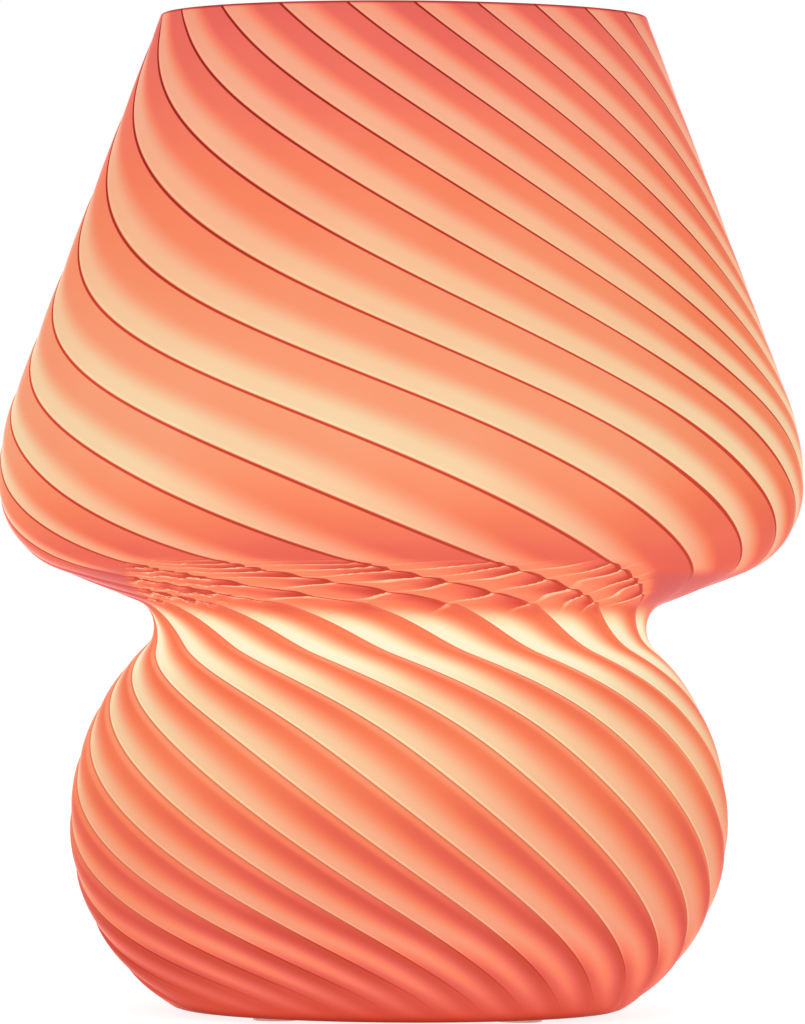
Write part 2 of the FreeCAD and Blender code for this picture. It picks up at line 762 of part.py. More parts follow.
def make_contact():
    """Spring tongue: a foot on the insert, and an arch that meets the bulb's tip."""
    body = new_body("tongue")
    sketch = new_sketch(body, "tongue_outline")
    left = "contact_length * 0.3"
    right = "contact_length * 0.7"
    foot_top = "insert_top + contact_sheet"
    under = "bulb_tip - contact_sheet"
    draw_outline(sketch, [
        ("0", "insert_top"), ("contact_length", "insert_top"), ("contact_length", foot_top),
        (f"{right} + contact_rise", foot_top), (right, "bulb_tip"), (left, "bulb_tip"),
        (left, under), (f"{right} - contact_sheet", under),
        (f"{right} + contact_rise - 2 * contact_sheet", foot_top), ("0", foot_top)], {})
    pad = body.newObject("PartDesign::Pad", "tongue_width")
    pad.Profile = sketch
    pad.Midplane = True
    bind(pad, Length="contact_width")
    place(body, "-0.5 * contact_length")
    finish(body, "centre_contact")


def make_shell():
    """Rolled shell that the bulb screws into."""
    tube = turned("shell_tube", [
        ("shell_flange", "insert_top"), ("shell_outside", "insert_top"),
        ("shell_outside", "insert_top + shell_height"), ("shell_bore", "insert_top + shell_height"),
        ("shell_bore", "insert_top + shell_wall"), ("shell_flange", "insert_top + shell_wall")])
    ridge = helix_ridge("shell_ridge", "shell_bore", "bulb_tip + thread_start - thread_pitch / 2",
                        "thread_round", "(thread_turns + 0.5)")
    finish(fuse("shell_with_thread", [tube, ridge]), "screw_shell")


def make_skirt():
    """Upper half of the lampholder: a spigot on the insert, and a lip over the shell."""
    top = "skirt_top"
    under_lip = "skirt_top - skirt_lip_height"
    skirt = turned("skirt", [
        ("skirt_spigot", "insert_top"), ("insert_radius", "insert_top"),
        ("insert_radius", "skirt_bottom"), ("cap_radius", "skirt_bottom"),
        ("cap_radius", f"{top} - cap_wall / 2"), ("cap_radius - cap_wall / 2", top),
        ("skirt_lip", top), ("skirt_lip", under_lip), ("cap_inside", under_lip),
        ("cap_inside", "skirt_bottom + cap_wall"), ("skirt_spigot", "skirt_bottom")])
    finish(skirt, "holder_skirt")


# ---------------------------------------------------------------- bulb

def make_bulb_base():
    """Tip contact, insulating cone and threaded cap."""
    tip = turned("tip", [
        ("0", "bulb_tip"), ("tip_radius * 0.6", "bulb_tip"), ("tip_radius", "bulb_tip + tip_height / 2"),
        ("tip_radius", "cone_bottom"), ("pin_radius", "cone_bottom"),
        ("pin_radius", "cone_bottom + pin_height"), ("0", "cone_bottom + pin_height")])
    finish(tip, "bulb_tip_contact")

    pin_bore = "pin_radius + fit_gap"
    rim_top = "cone_top + cap_tube_wall + cone_rim_height"
    cone = turned("cone", [
        (pin_bore, "cone_bottom"), ("cone_foot_radius", "cone_bottom"), ("cone_radius", "cone_top"),
        ("cone_radius", "cone_top + cap_tube_wall"), ("spigot_radius", "cone_top + cap_tube_wall"),
        ("spigot_radius", rim_top), (pin_bore, rim_top)])
    finish(cone, "bulb_cap_insulator")

    tube = turned("cap_tube", [
        ("cone_radius + fit_gap", "cone_top"), ("cap_tube_radius - cap_tube_wall", "cone_top"),
        ("cap_tube_radius", "cone_top + cap_tube_wall"), ("cap_tube_radius", "cap_tube_top"),
        ("cap_tube_bore", "cap_tube_top"), ("cap_tube_bore", "cone_top + cap_tube_wall"),
        ("cone_radius + fit_gap", "cone_top + cap_tube_wall")])
    ridge = helix_ridge("cap_ridge", "cap_thread_path", "bulb_tip + thread_start",
                        "thread_round", "thread_turns")
    inside = rod("cap_tube_inside", "cap_tube_bore", "cap_tube_height - cap_tube_wall")
    place(inside, up="cone_top + cap_tube_wall")
    threaded = fuse("cap_with_thread", [tube, ridge])
    finish(cut("threaded_cap", threaded, [inside]), "bulb_screw_cap")


def make_housing():
    """White body of the bulb, from the spigot in the cap up to the globe."""
    foot_top = "cap_tube_top + housing_foot_height"
    housing = turned("housing", [
        ("spigot_bore", "cap_tube_top - spigot_length"),
        ("spigot_radius", "cap_tube_top - spigot_length"), ("spigot_radius", "cap_tube_top"),
        ("housing_foot_radius", "cap_tube_top"), ("housing_foot_radius", foot_top),
        ("globe_mouth", "flare_top"), ("globe_mouth", "housing_top"), ("seat_radius", "housing_top"),
        ("seat_radius", "flare_top"), ("housing_foot_radius - housing_wall", foot_top),
        ("housing_foot_radius - housing_wall", "cap_tube_top + housing_wall"),
        ("spigot_bore", "cap_tube_top + housing_wall")])
    finish(housing, "bulb_housing")


def make_sink():
    """Pressed aluminium cup under the LED board, inside the housing's flare."""
    outer = "seat_radius - sink_play"
    outer_foot = f"{outer} - flare_slope * sink_depth"
    low = "flare_top - sink_depth"
    sink = turned("sink", [
        ("0", "sink_top - sink_sheet"), (f"{outer} - 1.4 * sink_sheet", "sink_top - sink_sheet"),
        (f"{outer_foot} - sink_sheet", low), (outer_foot, low), (outer, "flare_top"),
        (outer, "sink_top"), ("0", "sink_top")])
    holes = []
    for side in (1, -1):
        screw_hole = rod(f"sink_screw_hole_{side + 1}", "board_screw_radius + fit_gap", "3 * sink_sheet")
        place(screw_hole, depth=f"{side} * board_screw_ring", up="sink_top - 2 * sink_sheet")
        lead_hole = rod(f"sink_lead_hole_{side + 1}", "2 * lead_radius", "3 * sink_sheet")
        place(lead_hole, f"{side} * lead_offset", up="sink_top - 2 * sink_sheet")
        holes += [screw_hole, lead_hole]
    finish(cut("sink_with_holes", sink, holes), "heat_sink")


def make_board():
    """Round LED board with its chips and two screws."""
    board = rod("board", "board_radius", "board_sheet")
    place(board, up="sink_top")
    holes = []
    screws = []
    for side in (1, -1):
        hole = rod(f"board_screw_hole_{side + 1}", "board_screw_radius + fit_gap", "board_sheet")
        holes.append(place(hole, depth=f"{side} * board_screw_ring", up="sink_top"))
        lead_hole = rod(f"board_lead_hole_{side + 1}", "lead_radius + fit_gap", "board_sheet")
        holes.append(place(lead_hole, f"{side} * lead_offset", up="sink_top"))
        screw = turned(f"board_screw_{side + 1}", [
            ("0", "0"), ("board_screw_radius", "0"), ("board_screw_radius", "board_screw_length"),
            ("board_screw_head_radius", "board_screw_length"),
            ("board_screw_head_radius", "board_screw_length + board_screw_head_height / 2"),
            ("board_screw_radius", "board_screw_length + board_screw_head_height"),
            ("0", "board_screw_length + board_screw_head_height")])
        place(screw, depth=f"{side} * board_screw_ring", up="board_top - board_screw_length")
        screws.append(screw)
    finish(cut("board_with_holes", board, holes), "led_board")
    finish(group("screws_on_board", screws), "board_screws")

    chips = []
    for number in range(LED_CHIPS):
        angle = (number + 0.5) * 360 / LED_CHIPS
        turn = FreeCAD.Rotation(FreeCAD.Vector(0, 0, 1), angle)
        chip = block(f"chip_{number + 1}", "chip_width", "chip_length", "chip_height")
        corner = FreeCAD.Vector(size("chip_ring - chip_width / 2"), -size("chip_length / 2"),
                                size("board_top"))
        chip.Placement = FreeCAD.Placement(turn.multVec(corner), turn)
        chips.append(chip)
    finish(group("chips", chips), "led_chips")


def make_driver():
    """Upright circuit board in the housing's spigot, its parts and its wires."""
    board = block("driver", "driver_width", "driver_sheet", "driver_height")
    place(board, "-0.5 * driver_width", "-0.5 * driver_sheet", "driver_bottom")
    finish(board, "driver_board")

    capacitor = rod("capacitor", "capacitor_radius", "capacitor_height")
    place(capacitor, depth="driver_sheet / 2 + capacitor_radius",
          up="driver_top - capacitor_height - 3 * driver_sheet")
    finish(capacitor, "driver_capacitor")
    coil = block("coil", "coil_length", "coil_depth", "coil_height")
    place(coil, "-0.5 * coil_length", "-0.5 * driver_sheet - coil_depth",
          "driver_top - coil_height - 3 * driver_sheet")
    finish(coil, "driver_coil")
    chip = block("controller", "driver_chip_length", "driver_chip_depth", "driver_chip_height")
    place(chip, "-0.5 * driver_chip_length", "-0.5 * driver_sheet - driver_chip_depth",
          "driver_bottom + driver_chip_height")
    finish(chip, "driver_chip")

    pin_top = "(cone_bottom + pin_height)"
    wires = [place(rod("tip_lead", "lead_radius", f"driver_bottom - {pin_top}"), up=pin_top)]
    for side in (1, -1):
        wire = rod(f"led_lead_{side + 1}", "lead_radius", "board_top - driver_top")
        wires.append(place(wire, f"{side} * lead_offset", up="driver_top"))
    drop = "driver_bottom - cap_tube_top + spigot_length + 2 * lead_radius"
    fall = rod("cap_lead_fall", "lead_radius", drop)
    place(fall, "lead_offset", up=f"driver_bottom - ({drop})")
    reach = rod("cap_lead_reach", "lead_radius", "cap_tube_bore - lead_offset - fit_gap", along="x")
    place(reach, "lead_offset", up=f"driver_bottom - ({drop})")
    bend = document.addObject("Part::Sphere", "cap_lead_bend")
    bind(bend, Radius="lead_radius")
    place(bend, "lead_offset", up=f"driver_bottom - ({drop})")
    wires.append(fuse("cap_lead", [fall, bend, reach]))
    finish(group("leads", wires), "driver_leads")


def make_globe():
    """Opal globe: a sphere with a collar that plugs into the housing."""
    globe = turned("globe", [
        ("0", "globe_centre + globe_radius"), ("0", "globe_centre + globe_inside"),
        ("globe_inside", "globe_centre"), ("lip_bore", "housing_top + globe_wall"),
        ("collar_bore", "housing_top + globe_wall"), ("collar_bore", "housing_top - globe_collar"),
        ("collar_radius", "housing_top - globe_collar"), ("collar_radius", "housing_top"),
        ("globe_mouth", "housing_top"), ("globe_radius", "globe_centre")],
        arcs={1: ("globe_inside", False), 2: ("globe_inside", False),
              8: ("globe_radius", True), 9: ("globe_radius", True)})
    finish(globe, "bulb_diffuser")


# ---------------------------------------------------------------- build, check and write

def check_document():
    """Stop where any object failed, or a finished piece has no valid solid."""
    for item in document.Objects:
        if "Invalid" in item.State or "Error" in item.State:
            raise RuntimeError(f"{item.Name} failed: {item.State}")
    for item in finished:
        if item.Shape.isNull() or not item.Shape.isValid() or not item.Shape.Solids:
            raise RuntimeError(f"{item.Label} has no valid solid")


def write_pieces():
    """Write each finished piece to its own file."""
    os.makedirs("parts", exist_ok=True)
    for item in finished:
        item.Shape.exportStep(f"parts/{item.Label}.step")
        box = item.Shape.BoundBox
        print(f"{item.Label}: {len(item.Shape.Solids)} solids, {item.Shape.Volume:.1f} mm3,"
              f" z {box.ZMin:.2f} to {box.ZMax:.2f}")


fill_sheet()
make_glass()
make_feet()
make_grommet()
make_clamp()
make_cup()
make_nipple()
make_holder_cap()
make_insert()
make_contact()
make_shell()
make_skirt()
make_bulb_base()
make_housing()
make_sink()
make_board()
make_driver()
make_globe()
document.recompute()
check_document()
write_pieces()
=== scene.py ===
"""Looks of a mushroom table lamp: swirled coral glass lit from inside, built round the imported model.

Everything is in metres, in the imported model's own frame: +Z is up the glass body's axis, -Y is the
front and +Y the side with the cord hole. Sizes in the classes are in millimetres. Distances down the
glass run along its outline from the rim, and the stripe map holds them in parts of MAP_LENGTH.
"""

from __future__ import annotations

import json
import logging
import math
import sys
from dataclasses import dataclass, field
from enum import Enum

import bpy
import numpy as np
from mathutils import Matrix, Vector

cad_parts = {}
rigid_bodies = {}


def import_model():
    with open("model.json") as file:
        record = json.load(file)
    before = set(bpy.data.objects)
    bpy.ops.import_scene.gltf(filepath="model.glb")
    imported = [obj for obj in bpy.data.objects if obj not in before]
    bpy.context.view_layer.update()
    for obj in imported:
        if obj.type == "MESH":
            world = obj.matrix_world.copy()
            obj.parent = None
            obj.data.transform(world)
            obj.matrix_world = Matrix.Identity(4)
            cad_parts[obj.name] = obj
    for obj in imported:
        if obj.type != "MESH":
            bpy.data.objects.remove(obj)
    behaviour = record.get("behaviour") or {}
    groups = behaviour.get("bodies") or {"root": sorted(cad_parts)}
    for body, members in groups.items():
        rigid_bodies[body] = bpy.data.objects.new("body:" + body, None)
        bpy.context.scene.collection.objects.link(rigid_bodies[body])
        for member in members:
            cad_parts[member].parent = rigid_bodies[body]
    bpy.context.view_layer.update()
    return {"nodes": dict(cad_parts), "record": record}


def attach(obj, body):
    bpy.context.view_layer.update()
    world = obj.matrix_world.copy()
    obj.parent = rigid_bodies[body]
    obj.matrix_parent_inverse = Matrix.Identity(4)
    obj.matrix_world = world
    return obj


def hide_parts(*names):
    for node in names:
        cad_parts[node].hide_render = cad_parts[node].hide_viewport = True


LOG = logging.getLogger("mushroom_lamp")
MM = 0.001
STRIPES = 24
MAP_LENGTH = 300.0  # millimetres down the glass that the stripe map's height stands for
FOLD_MAP = 40.0  # folds that the fold map's width stands for
Socket = bpy.types.NodeSocket
Level = Socket | float


def linear(code: str) -> tuple[float, float, float, float]:
    """Turn a colour written as six hex digits into linear light.

    Args:
        code: The colour as it shows on a screen, such as "fd9c74".

    Returns:
        Red, green, blue and alpha.
    """
    parts = [int(code[at:at + 2], 16) / 255 for at in (0, 2, 4)]
    light = [part / 12.92 if part <= 0.04045 else ((part + 0.055) / 1.055) ** 2.4 for part in parts]
    return light[0], light[1], light[2], 1.0


def smooth_through(knots: tuple[float, ...], values: tuple[float, ...], at: np.ndarray) -> np.ndarray:
    """Follow a natural cubic spline through a few stations.

    Args:
        knots: Where the stations are, rising.
        values: The value at each station.
        at: Places to read.

    Returns:
        The value at each place, running on straight past the last station.
    """
    x, y = np.array(knots, float), np.array(values, float)
    gap = np.diff(x)
    bend = np.eye(len(x))
    pull = np.zeros(len(x))
    for i in range(1, len(x) - 1):
        bend[i, i - 1:i + 2] = gap[i - 1], 2 * (gap[i - 1] + gap[i]), gap[i]
        pull[i] = 6 * ((y[i + 1] - y[i]) / gap[i] - (y[i] - y[i - 1]) / gap[i - 1])
    second = np.linalg.solve(bend, pull)
    inside = np.clip(at, x[0], x[-1])
    i = np.clip(np.searchsorted(x, inside) - 1, 0, len(gap) - 1)
    h, a, b = gap[i], x[i + 1] - inside, inside - x[i]
    found = (second[i] * a ** 3 + second[i + 1] * b ** 3) / (6 * h)
    found += (y[i] / h - second[i] * h / 6) * a + (y[i + 1] / h - second[i + 1] * h / 6) * b
    slope_low = (y[1] - y[0]) / gap[0] - gap[0] * second[1] / 6
    slope_high = (y[-1] - y[-2]) / gap[-1] + gap[-1] * second[-2] / 6
    return found + np.minimum(at - x[0], 0) * slope_low + np.maximum(at - x[-1], 0) * slope_high


def soft_step(value: np.ndarray, low: float, high: float) -> np.ndarray:
    """Rise smoothly from 0 at low to 1 at high."""
    share = np.clip((value - low) / (high - low), 0, 1)
    return share * share * (3 - 2 * share)


def add_object(name: str, data: bpy.types.ID) -> bpy.types.Object:
    """Put a mesh, a light or a camera into the scene.

    Args:
        name: The object's name.
        data: What it shows.

    Returns:
        The object.
    """
    item = bpy.data.objects.new(name, data)
    bpy.context.scene.collection.objects.link(item)
    return item


# ---------------------------------------------------------------- shader graphs


class Graph:
    """A material with one Principled shader, and short ways to add nodes to it."""

    def __init__(self, name: str) -> None:
        """Make the empty material.

        Args:
            name: The material's name.
        """
        self.material = bpy.data.materials.new(name)
        self.material.use_nodes = True
        self.tree = self.material.node_tree
        self.tree.nodes.clear()
        self.shader = self.add("ShaderNodeBsdfPrincipled")
        self.output = self.add("ShaderNodeOutputMaterial")
        self.link(self.shader.outputs[0], self.output.inputs[0])

    def add(self, kind: str) -> bpy.types.Node:
        """Add a node."""
        return self.tree.nodes.new(kind)

    def link(self, source: Level | tuple, target: Socket) -> None:
        """Feed a socket from another socket or a plain value.

        Args:
            source: The socket or value.
            target: The socket to feed.
        """
        if isinstance(source, bpy.types.NodeSocket):
            self.tree.links.new(source, target)
        else:
            target.default_value = source

    def set(self, **values: Level | tuple) -> None:
        """Set the shader's sockets.

        Args:
            values: What each socket gets, under its name with _ for spaces.
        """
        for name, value in values.items():
            self.link(value, self.shader.inputs[name.replace("_", " ")])

    def number(self, operation: str, first: Level, second: Level = 0.0, clamp: bool = False) -> Socket:
        """Do a sum on one or two numbers.

        Args:
            operation: The sum, as Blender names it.
            first: The first number.
            second: The second number.
            clamp: Whether the result stays from 0 to 1.

        Returns:
            The result.
        """
        node = self.add("ShaderNodeMath")
        node.operation, node.use_clamp = operation, clamp
        self.link(first, node.inputs[0])
        self.link(second, node.inputs[1])
        return node.outputs[0]

    def times(self, first: Level, *others: Level) -> Socket:
        """Multiply numbers.

        Args:
            first: The first number.
            others: The other numbers.

        Returns:
            Their product.
        """
        for other in others:
            first = self.number("MULTIPLY", first, other)
        return first

    def plus(self, first: Level, second: Level) -> Socket:
        """Add two numbers."""
        return self.number("ADD", first, second)

    def minus(self, first: Level, second: Level) -> Socket:
        """Subtract the second number from the first."""
        return self.number("SUBTRACT", first, second)

    def larger(self, first: Level, second: Level) -> Socket:
        """Return the larger of two numbers."""
        return self.number("MAXIMUM", first, second)

    def span(self, value: Level, low: Level, high: Level, to_low: float = 0.0,
             to_high: float = 1.0) -> Socket:
        """Carry a number from one range to another, eased, and held at its ends.

        Args:
            value: The number.
            low: Start of its range.
            high: End of its range.
            to_low: What it becomes at the start.
            to_high: What it becomes at the end.

        Returns:
            The new number.
        """
        node = self.add("ShaderNodeMapRange")
        node.interpolation_type = "SMOOTHSTEP"
        for place, number in enumerate((value, low, high, to_low, to_high)):
            self.link(number, node.inputs[place])
        return node.outputs[0]

    def drop(self, value: Level, low: Level, high: Level) -> Socket:
        """Fall from 1 at low to 0 at high."""
        return self.span(value, low, high, 1.0, 0.0)

    def ramp(self, value: Level, stops: list[tuple[float, tuple]]) -> Socket:
        """Read a colour from a row of stops.

        Args:
            value: Where to read, from 0 to 1.
            stops: Each stop's place and colour.

        Returns:
            The colour.
        """
        node = self.add("ShaderNodeValToRGB")
        node.color_ramp.interpolation = "LINEAR"
        elements = node.color_ramp.elements
        while len(elements) < len(stops):
            elements.new(1.0)
        for element, (place, colour) in zip(elements, stops):
            element.position, element.color = place, colour
        self.link(value, node.inputs[0])
        return node.outputs[0]

    def curve(self, value: Level, stations: list[tuple[float, float]]) -> Socket:
        """Read a smooth curve through stations.

        Args:
            value: Where to read, from 0 to 1.
            stations: Each station's place and height, from 0 to 1.

        Returns:
            The curve's height.
        """
        node = self.add("ShaderNodeFloatCurve")
        curve = node.mapping.curves[0]
        while len(curve.points) < len(stations):
            curve.points.new(0.5, 0.5)
        for point, (place, height) in zip(curve.points, stations):
            point.location = (place, height)
        node.mapping.update()
        self.link(value, node.inputs["Value"])
        return node.outputs[0]

    def blend(self, share: Level, first: Socket | tuple, second: Socket | tuple,
              way: str = "MIX") -> Socket:
        """Mix two colours.

        Args:
            share: How much of the second, from 0 to 1.
            first: The first colour.
            second: The second colour.
            way: How they mix, as Blender names it.

        Returns:
            The mixed colour.
        """
        node = self.add("ShaderNodeMix")
        node.data_type, node.blend_type = "RGBA", way
        self.link(share, node.inputs[0])
        self.link(first, node.inputs[6])
        self.link(second, node.inputs[7])
        return node.outputs[2]

    def between(self, share: Level, first: Level, second: Level) -> Socket:
        """Mix two numbers.

        Args:
            share: How much of the second, from 0 to 1.
            first: The first number.
            second: The second number.

        Returns:
            The mixed number.
        """
        node = self.add("ShaderNodeMix")
        node.data_type = "FLOAT"
        for place, number in zip((0, 2, 3), (share, first, second)):
            self.link(number, node.inputs[place])
        return node.outputs[0]

    def parts(self, vector: Socket) -> bpy.types.NodeOutputs:
        """Split a vector into its three numbers.

        Args:
            vector: The vector.

        Returns:
            The numbers' sockets.
        """
        node = self.add("ShaderNodeSeparateXYZ")
        self.link(vector, node.inputs[0])
        return node.outputs

    def place(self) -> Socket:
        """Return the point on the object, in metres."""
        return self.add("ShaderNodeTexCoord").outputs["Object"]

    def map(self, name: str) -> tuple[Socket, Socket]:
        """Read a point's two places in one of the mesh's maps.

        Args:
            name: The map.

        Returns:
            The place across and the place up.
        """
        node = self.add("ShaderNodeUVMap")
        node.uv_map = name
        found = self.parts(node.outputs[0])
        return found[0], found[1]

    def noise(self, scale: float, detail: float = 3.0,
              stretch: tuple[float, float, float] = (1.0, 1.0, 1.0)) -> Socket:
        """Read smooth noise from 0 to 1.

        Args:
            scale: Lumps to the metre.
            detail: Octaves.
            stretch: Factor on each axis before the noise is read.

        Returns:
            The noise.
        """
        mapping = self.add("ShaderNodeMapping")
        self.link(self.place(), mapping.inputs["Vector"])
        mapping.inputs["Scale"].default_value = stretch
        node = self.add("ShaderNodeTexNoise")
        node.inputs["Scale"].default_value = scale
        node.inputs["Detail"].default_value = detail
        self.link(mapping.outputs[0], node.inputs["Vector"])
        return node.outputs[0]

    def bump(self, height: Level, depth: float) -> None:
        """Feed the shader's normal from a height.

        Args:
            height: The height, from 0 to 1.
            depth: What a height of 1 stands for, in metres.
        """
        node = self.add("ShaderNodeBump")
        node.inputs["Distance"].default_value = depth
        node.inputs["Strength"].default_value = 1.0
        self.link(height, node.inputs["Height"])
        self.link(node.outputs[0], self.shader.inputs["Normal"])


# ---------------------------------------------------------------- finishes of the hidden pieces


class Grain(Enum):
    """How a surface was made: its marks to the metre, their octaves, and their stretch on each axis."""

    TURNED = (900.0, 2.0, (0.05, 0.05, 2.4))
    BRUSHED = (1400.0, 2.0, (0.06, 1.0, 1.0))
    MOULDED = (1900.0, 2.0, (1.0, 1.0, 1.0))
    CAST = (2600.0, 5.0, (1.0, 1.0, 1.0))
    ROLLED = (700.0, 4.0, (1.0, 0.2, 1.0))


@dataclass(frozen=True)
class Finish:
    """A plain finish: a colour that drifts to a second, gloss that varies, and fine marks.

    Lumps is how many patches of the second colour there are to the metre, depth the marks' height in
    metres, and spread how far the roughness varies. Glow is emission: real light on the LED chips, and
    painted light on the silicone pads and the cord grommet, which give no light of their own.
    """

    name: str
    colour: str
    second: str
    metallic: float
    roughness: float
    grain: Grain
    lumps: float = 260.0
    depth: float = 0.00002
    spread: float = 0.12
    coat: float = 0.0
    glow: float = 0.0

    def material(self) -> bpy.types.Material:
        """Build the material.

        Returns:
            The material, with its colour, roughness and bump from nodes.
        """
        graph = Graph(self.name)
        patches = graph.span(graph.noise(self.lumps, 4.0), 0.35, 0.68)
        marks = graph.noise(*self.grain.value)
        second = linear(self.second)
        colour = graph.blend(patches, linear(self.colour), second)
        graph.set(Base_Color=graph.blend(graph.span(marks, 0.55, 0.8, 0.0, 0.25), colour, second),
                  Metallic=self.metallic, Coat_Weight=self.coat, Coat_Roughness=0.08,
                  Roughness=graph.span(marks, 0.3, 0.7, self.roughness - self.spread / 2,
                                       self.roughness + self.spread / 2))
        graph.bump(marks, self.depth)
        if self.glow:
            graph.set(Emission_Color=colour, Emission_Strength=self.glow)
        return graph.material


FINISHES = {
    # The glow of the pads and the grommet is painted light: colour standing in for the lamp's light on
    # them.
    "clear_silicone": Finish("clear silicone", "edcfc8", "e3c0b8", 0.0, 0.32, Grain.MOULDED, glow=0.42),
    "grommet_rubber": Finish("milky rubber", "ddd2c8", "d2c6ba", 0.0, 0.45, Grain.MOULDED, glow=0.3),
    "gasket_rubber": Finish("black rubber", "1c1c1d", "2b2a29", 0.0, 0.75, Grain.CAST),
    "zinc_steel": Finish("zinc plated steel", "c9ccce", "aeb1b0", 1.0, 0.30, Grain.TURNED),
    "white_paint": Finish("warm white satin paint", "eae6dc", "e0dccf", 0.0, 0.38, Grain.CAST, coat=0.2),
    "white_plastic": Finish("white moulded plastic", "ebe8df", "e2dfd4", 0.0, 0.28, Grain.MOULDED),
    "core_ceramic": Finish("unglazed steatite", "e3dccb", "d6ccb6", 0.0, 0.82, Grain.CAST),
    "contact_brass": Finish("bare brass", "d9b064", "b98d48", 1.0, 0.28, Grain.BRUSHED),
    "tinned_brass": Finish("tinned brass", "c8c1b4", "ada491", 1.0, 0.34, Grain.TURNED),
    "black_cone": Finish("black insulating glass", "141416", "23201f", 0.0, 0.12, Grain.MOULDED,
                         coat=0.5),
    "nickel_cap": Finish("nickel plated cap", "d3cfc6", "b9b4a8", 1.0, 0.16, Grain.TURNED),
    "bulb_white": Finish("white thermoplastic", "edebe4", "e3e0d6", 0.0, 0.46, Grain.MOULDED),
    "sink_aluminium": Finish("pressed aluminium", "d3d4d5", "bfc0c1", 1.0, 0.36, Grain.ROLLED),
    "board_white": Finish("white solder mask", "f0efe9", "e6e4dc", 0.0, 0.42, Grain.ROLLED),
    "chip_phosphor": Finish("yellow phosphor", "f5d478", "ffe39a", 0.0, 0.3, Grain.MOULDED, glow=2.0),
    "board_green": Finish("green solder mask", "1f5c33", "2f7545", 0.0, 0.26, Grain.ROLLED, coat=0.3),
    "capacitor_sleeve": Finish("dark shrink sleeve", "23262e", "31343d", 0.0, 0.24, Grain.MOULDED),
    "coil_tape": Finish("yellow polyester tape", "dcb73a", "c79f2c", 0.0, 0.35, Grain.ROLLED),
    "chip_black": Finish("black moulded package", "26262a", "1a1a1c", 0.0, 0.62, Grain.CAST),
    "lead_red": Finish("red wire insulation", "a8231c", "8f1c17", 0.0, 0.3, Grain.MOULDED),
}


# ---------------------------------------------------------------- the glass body's shape


@dataclass(frozen=True)
class Run:
    """One stretch of the outline: an arc, or a line where round is 0."""

    name: str
    start: tuple[float, float]
    end: tuple[float, float]
    round: float = 0.0
    centre: tuple[float, float] = (0.0, 0.0)
    first: float = 0.0
    last: float = 0.0

    def length(self) -> float:
        """Work out the stretch's length.

        Returns:
            The length, in millimetres.
        """
        if self.round:
            return abs(self.last - self.first) * self.round
        return math.dist(self.start, self.end)

    def points(self, share: np.ndarray, inwards: float) -> np.ndarray:
        """Follow the stretch, or a line at a distance inside it.

        Args:
            share: How far along the stretch, from 0 to 1.
            inwards: Distance into the glass.

        Returns:
            A radius and a height for each share.
        """
        if self.round:
            angle = self.first + (self.last - self.first) * share
            hollow = -1 if self.last > self.first else 1
            reach = self.round - hollow * inwards
            return np.stack([self.centre[0] + reach * np.cos(angle),
                             self.centre[1] + reach * np.sin(angle)], axis=1)
        way = np.array(self.end) - np.array(self.start)
        out = np.array([-way[1], way[0]]) / np.linalg.norm(way)
        return np.array(self.start) + share[:, None] * way - out * inwards


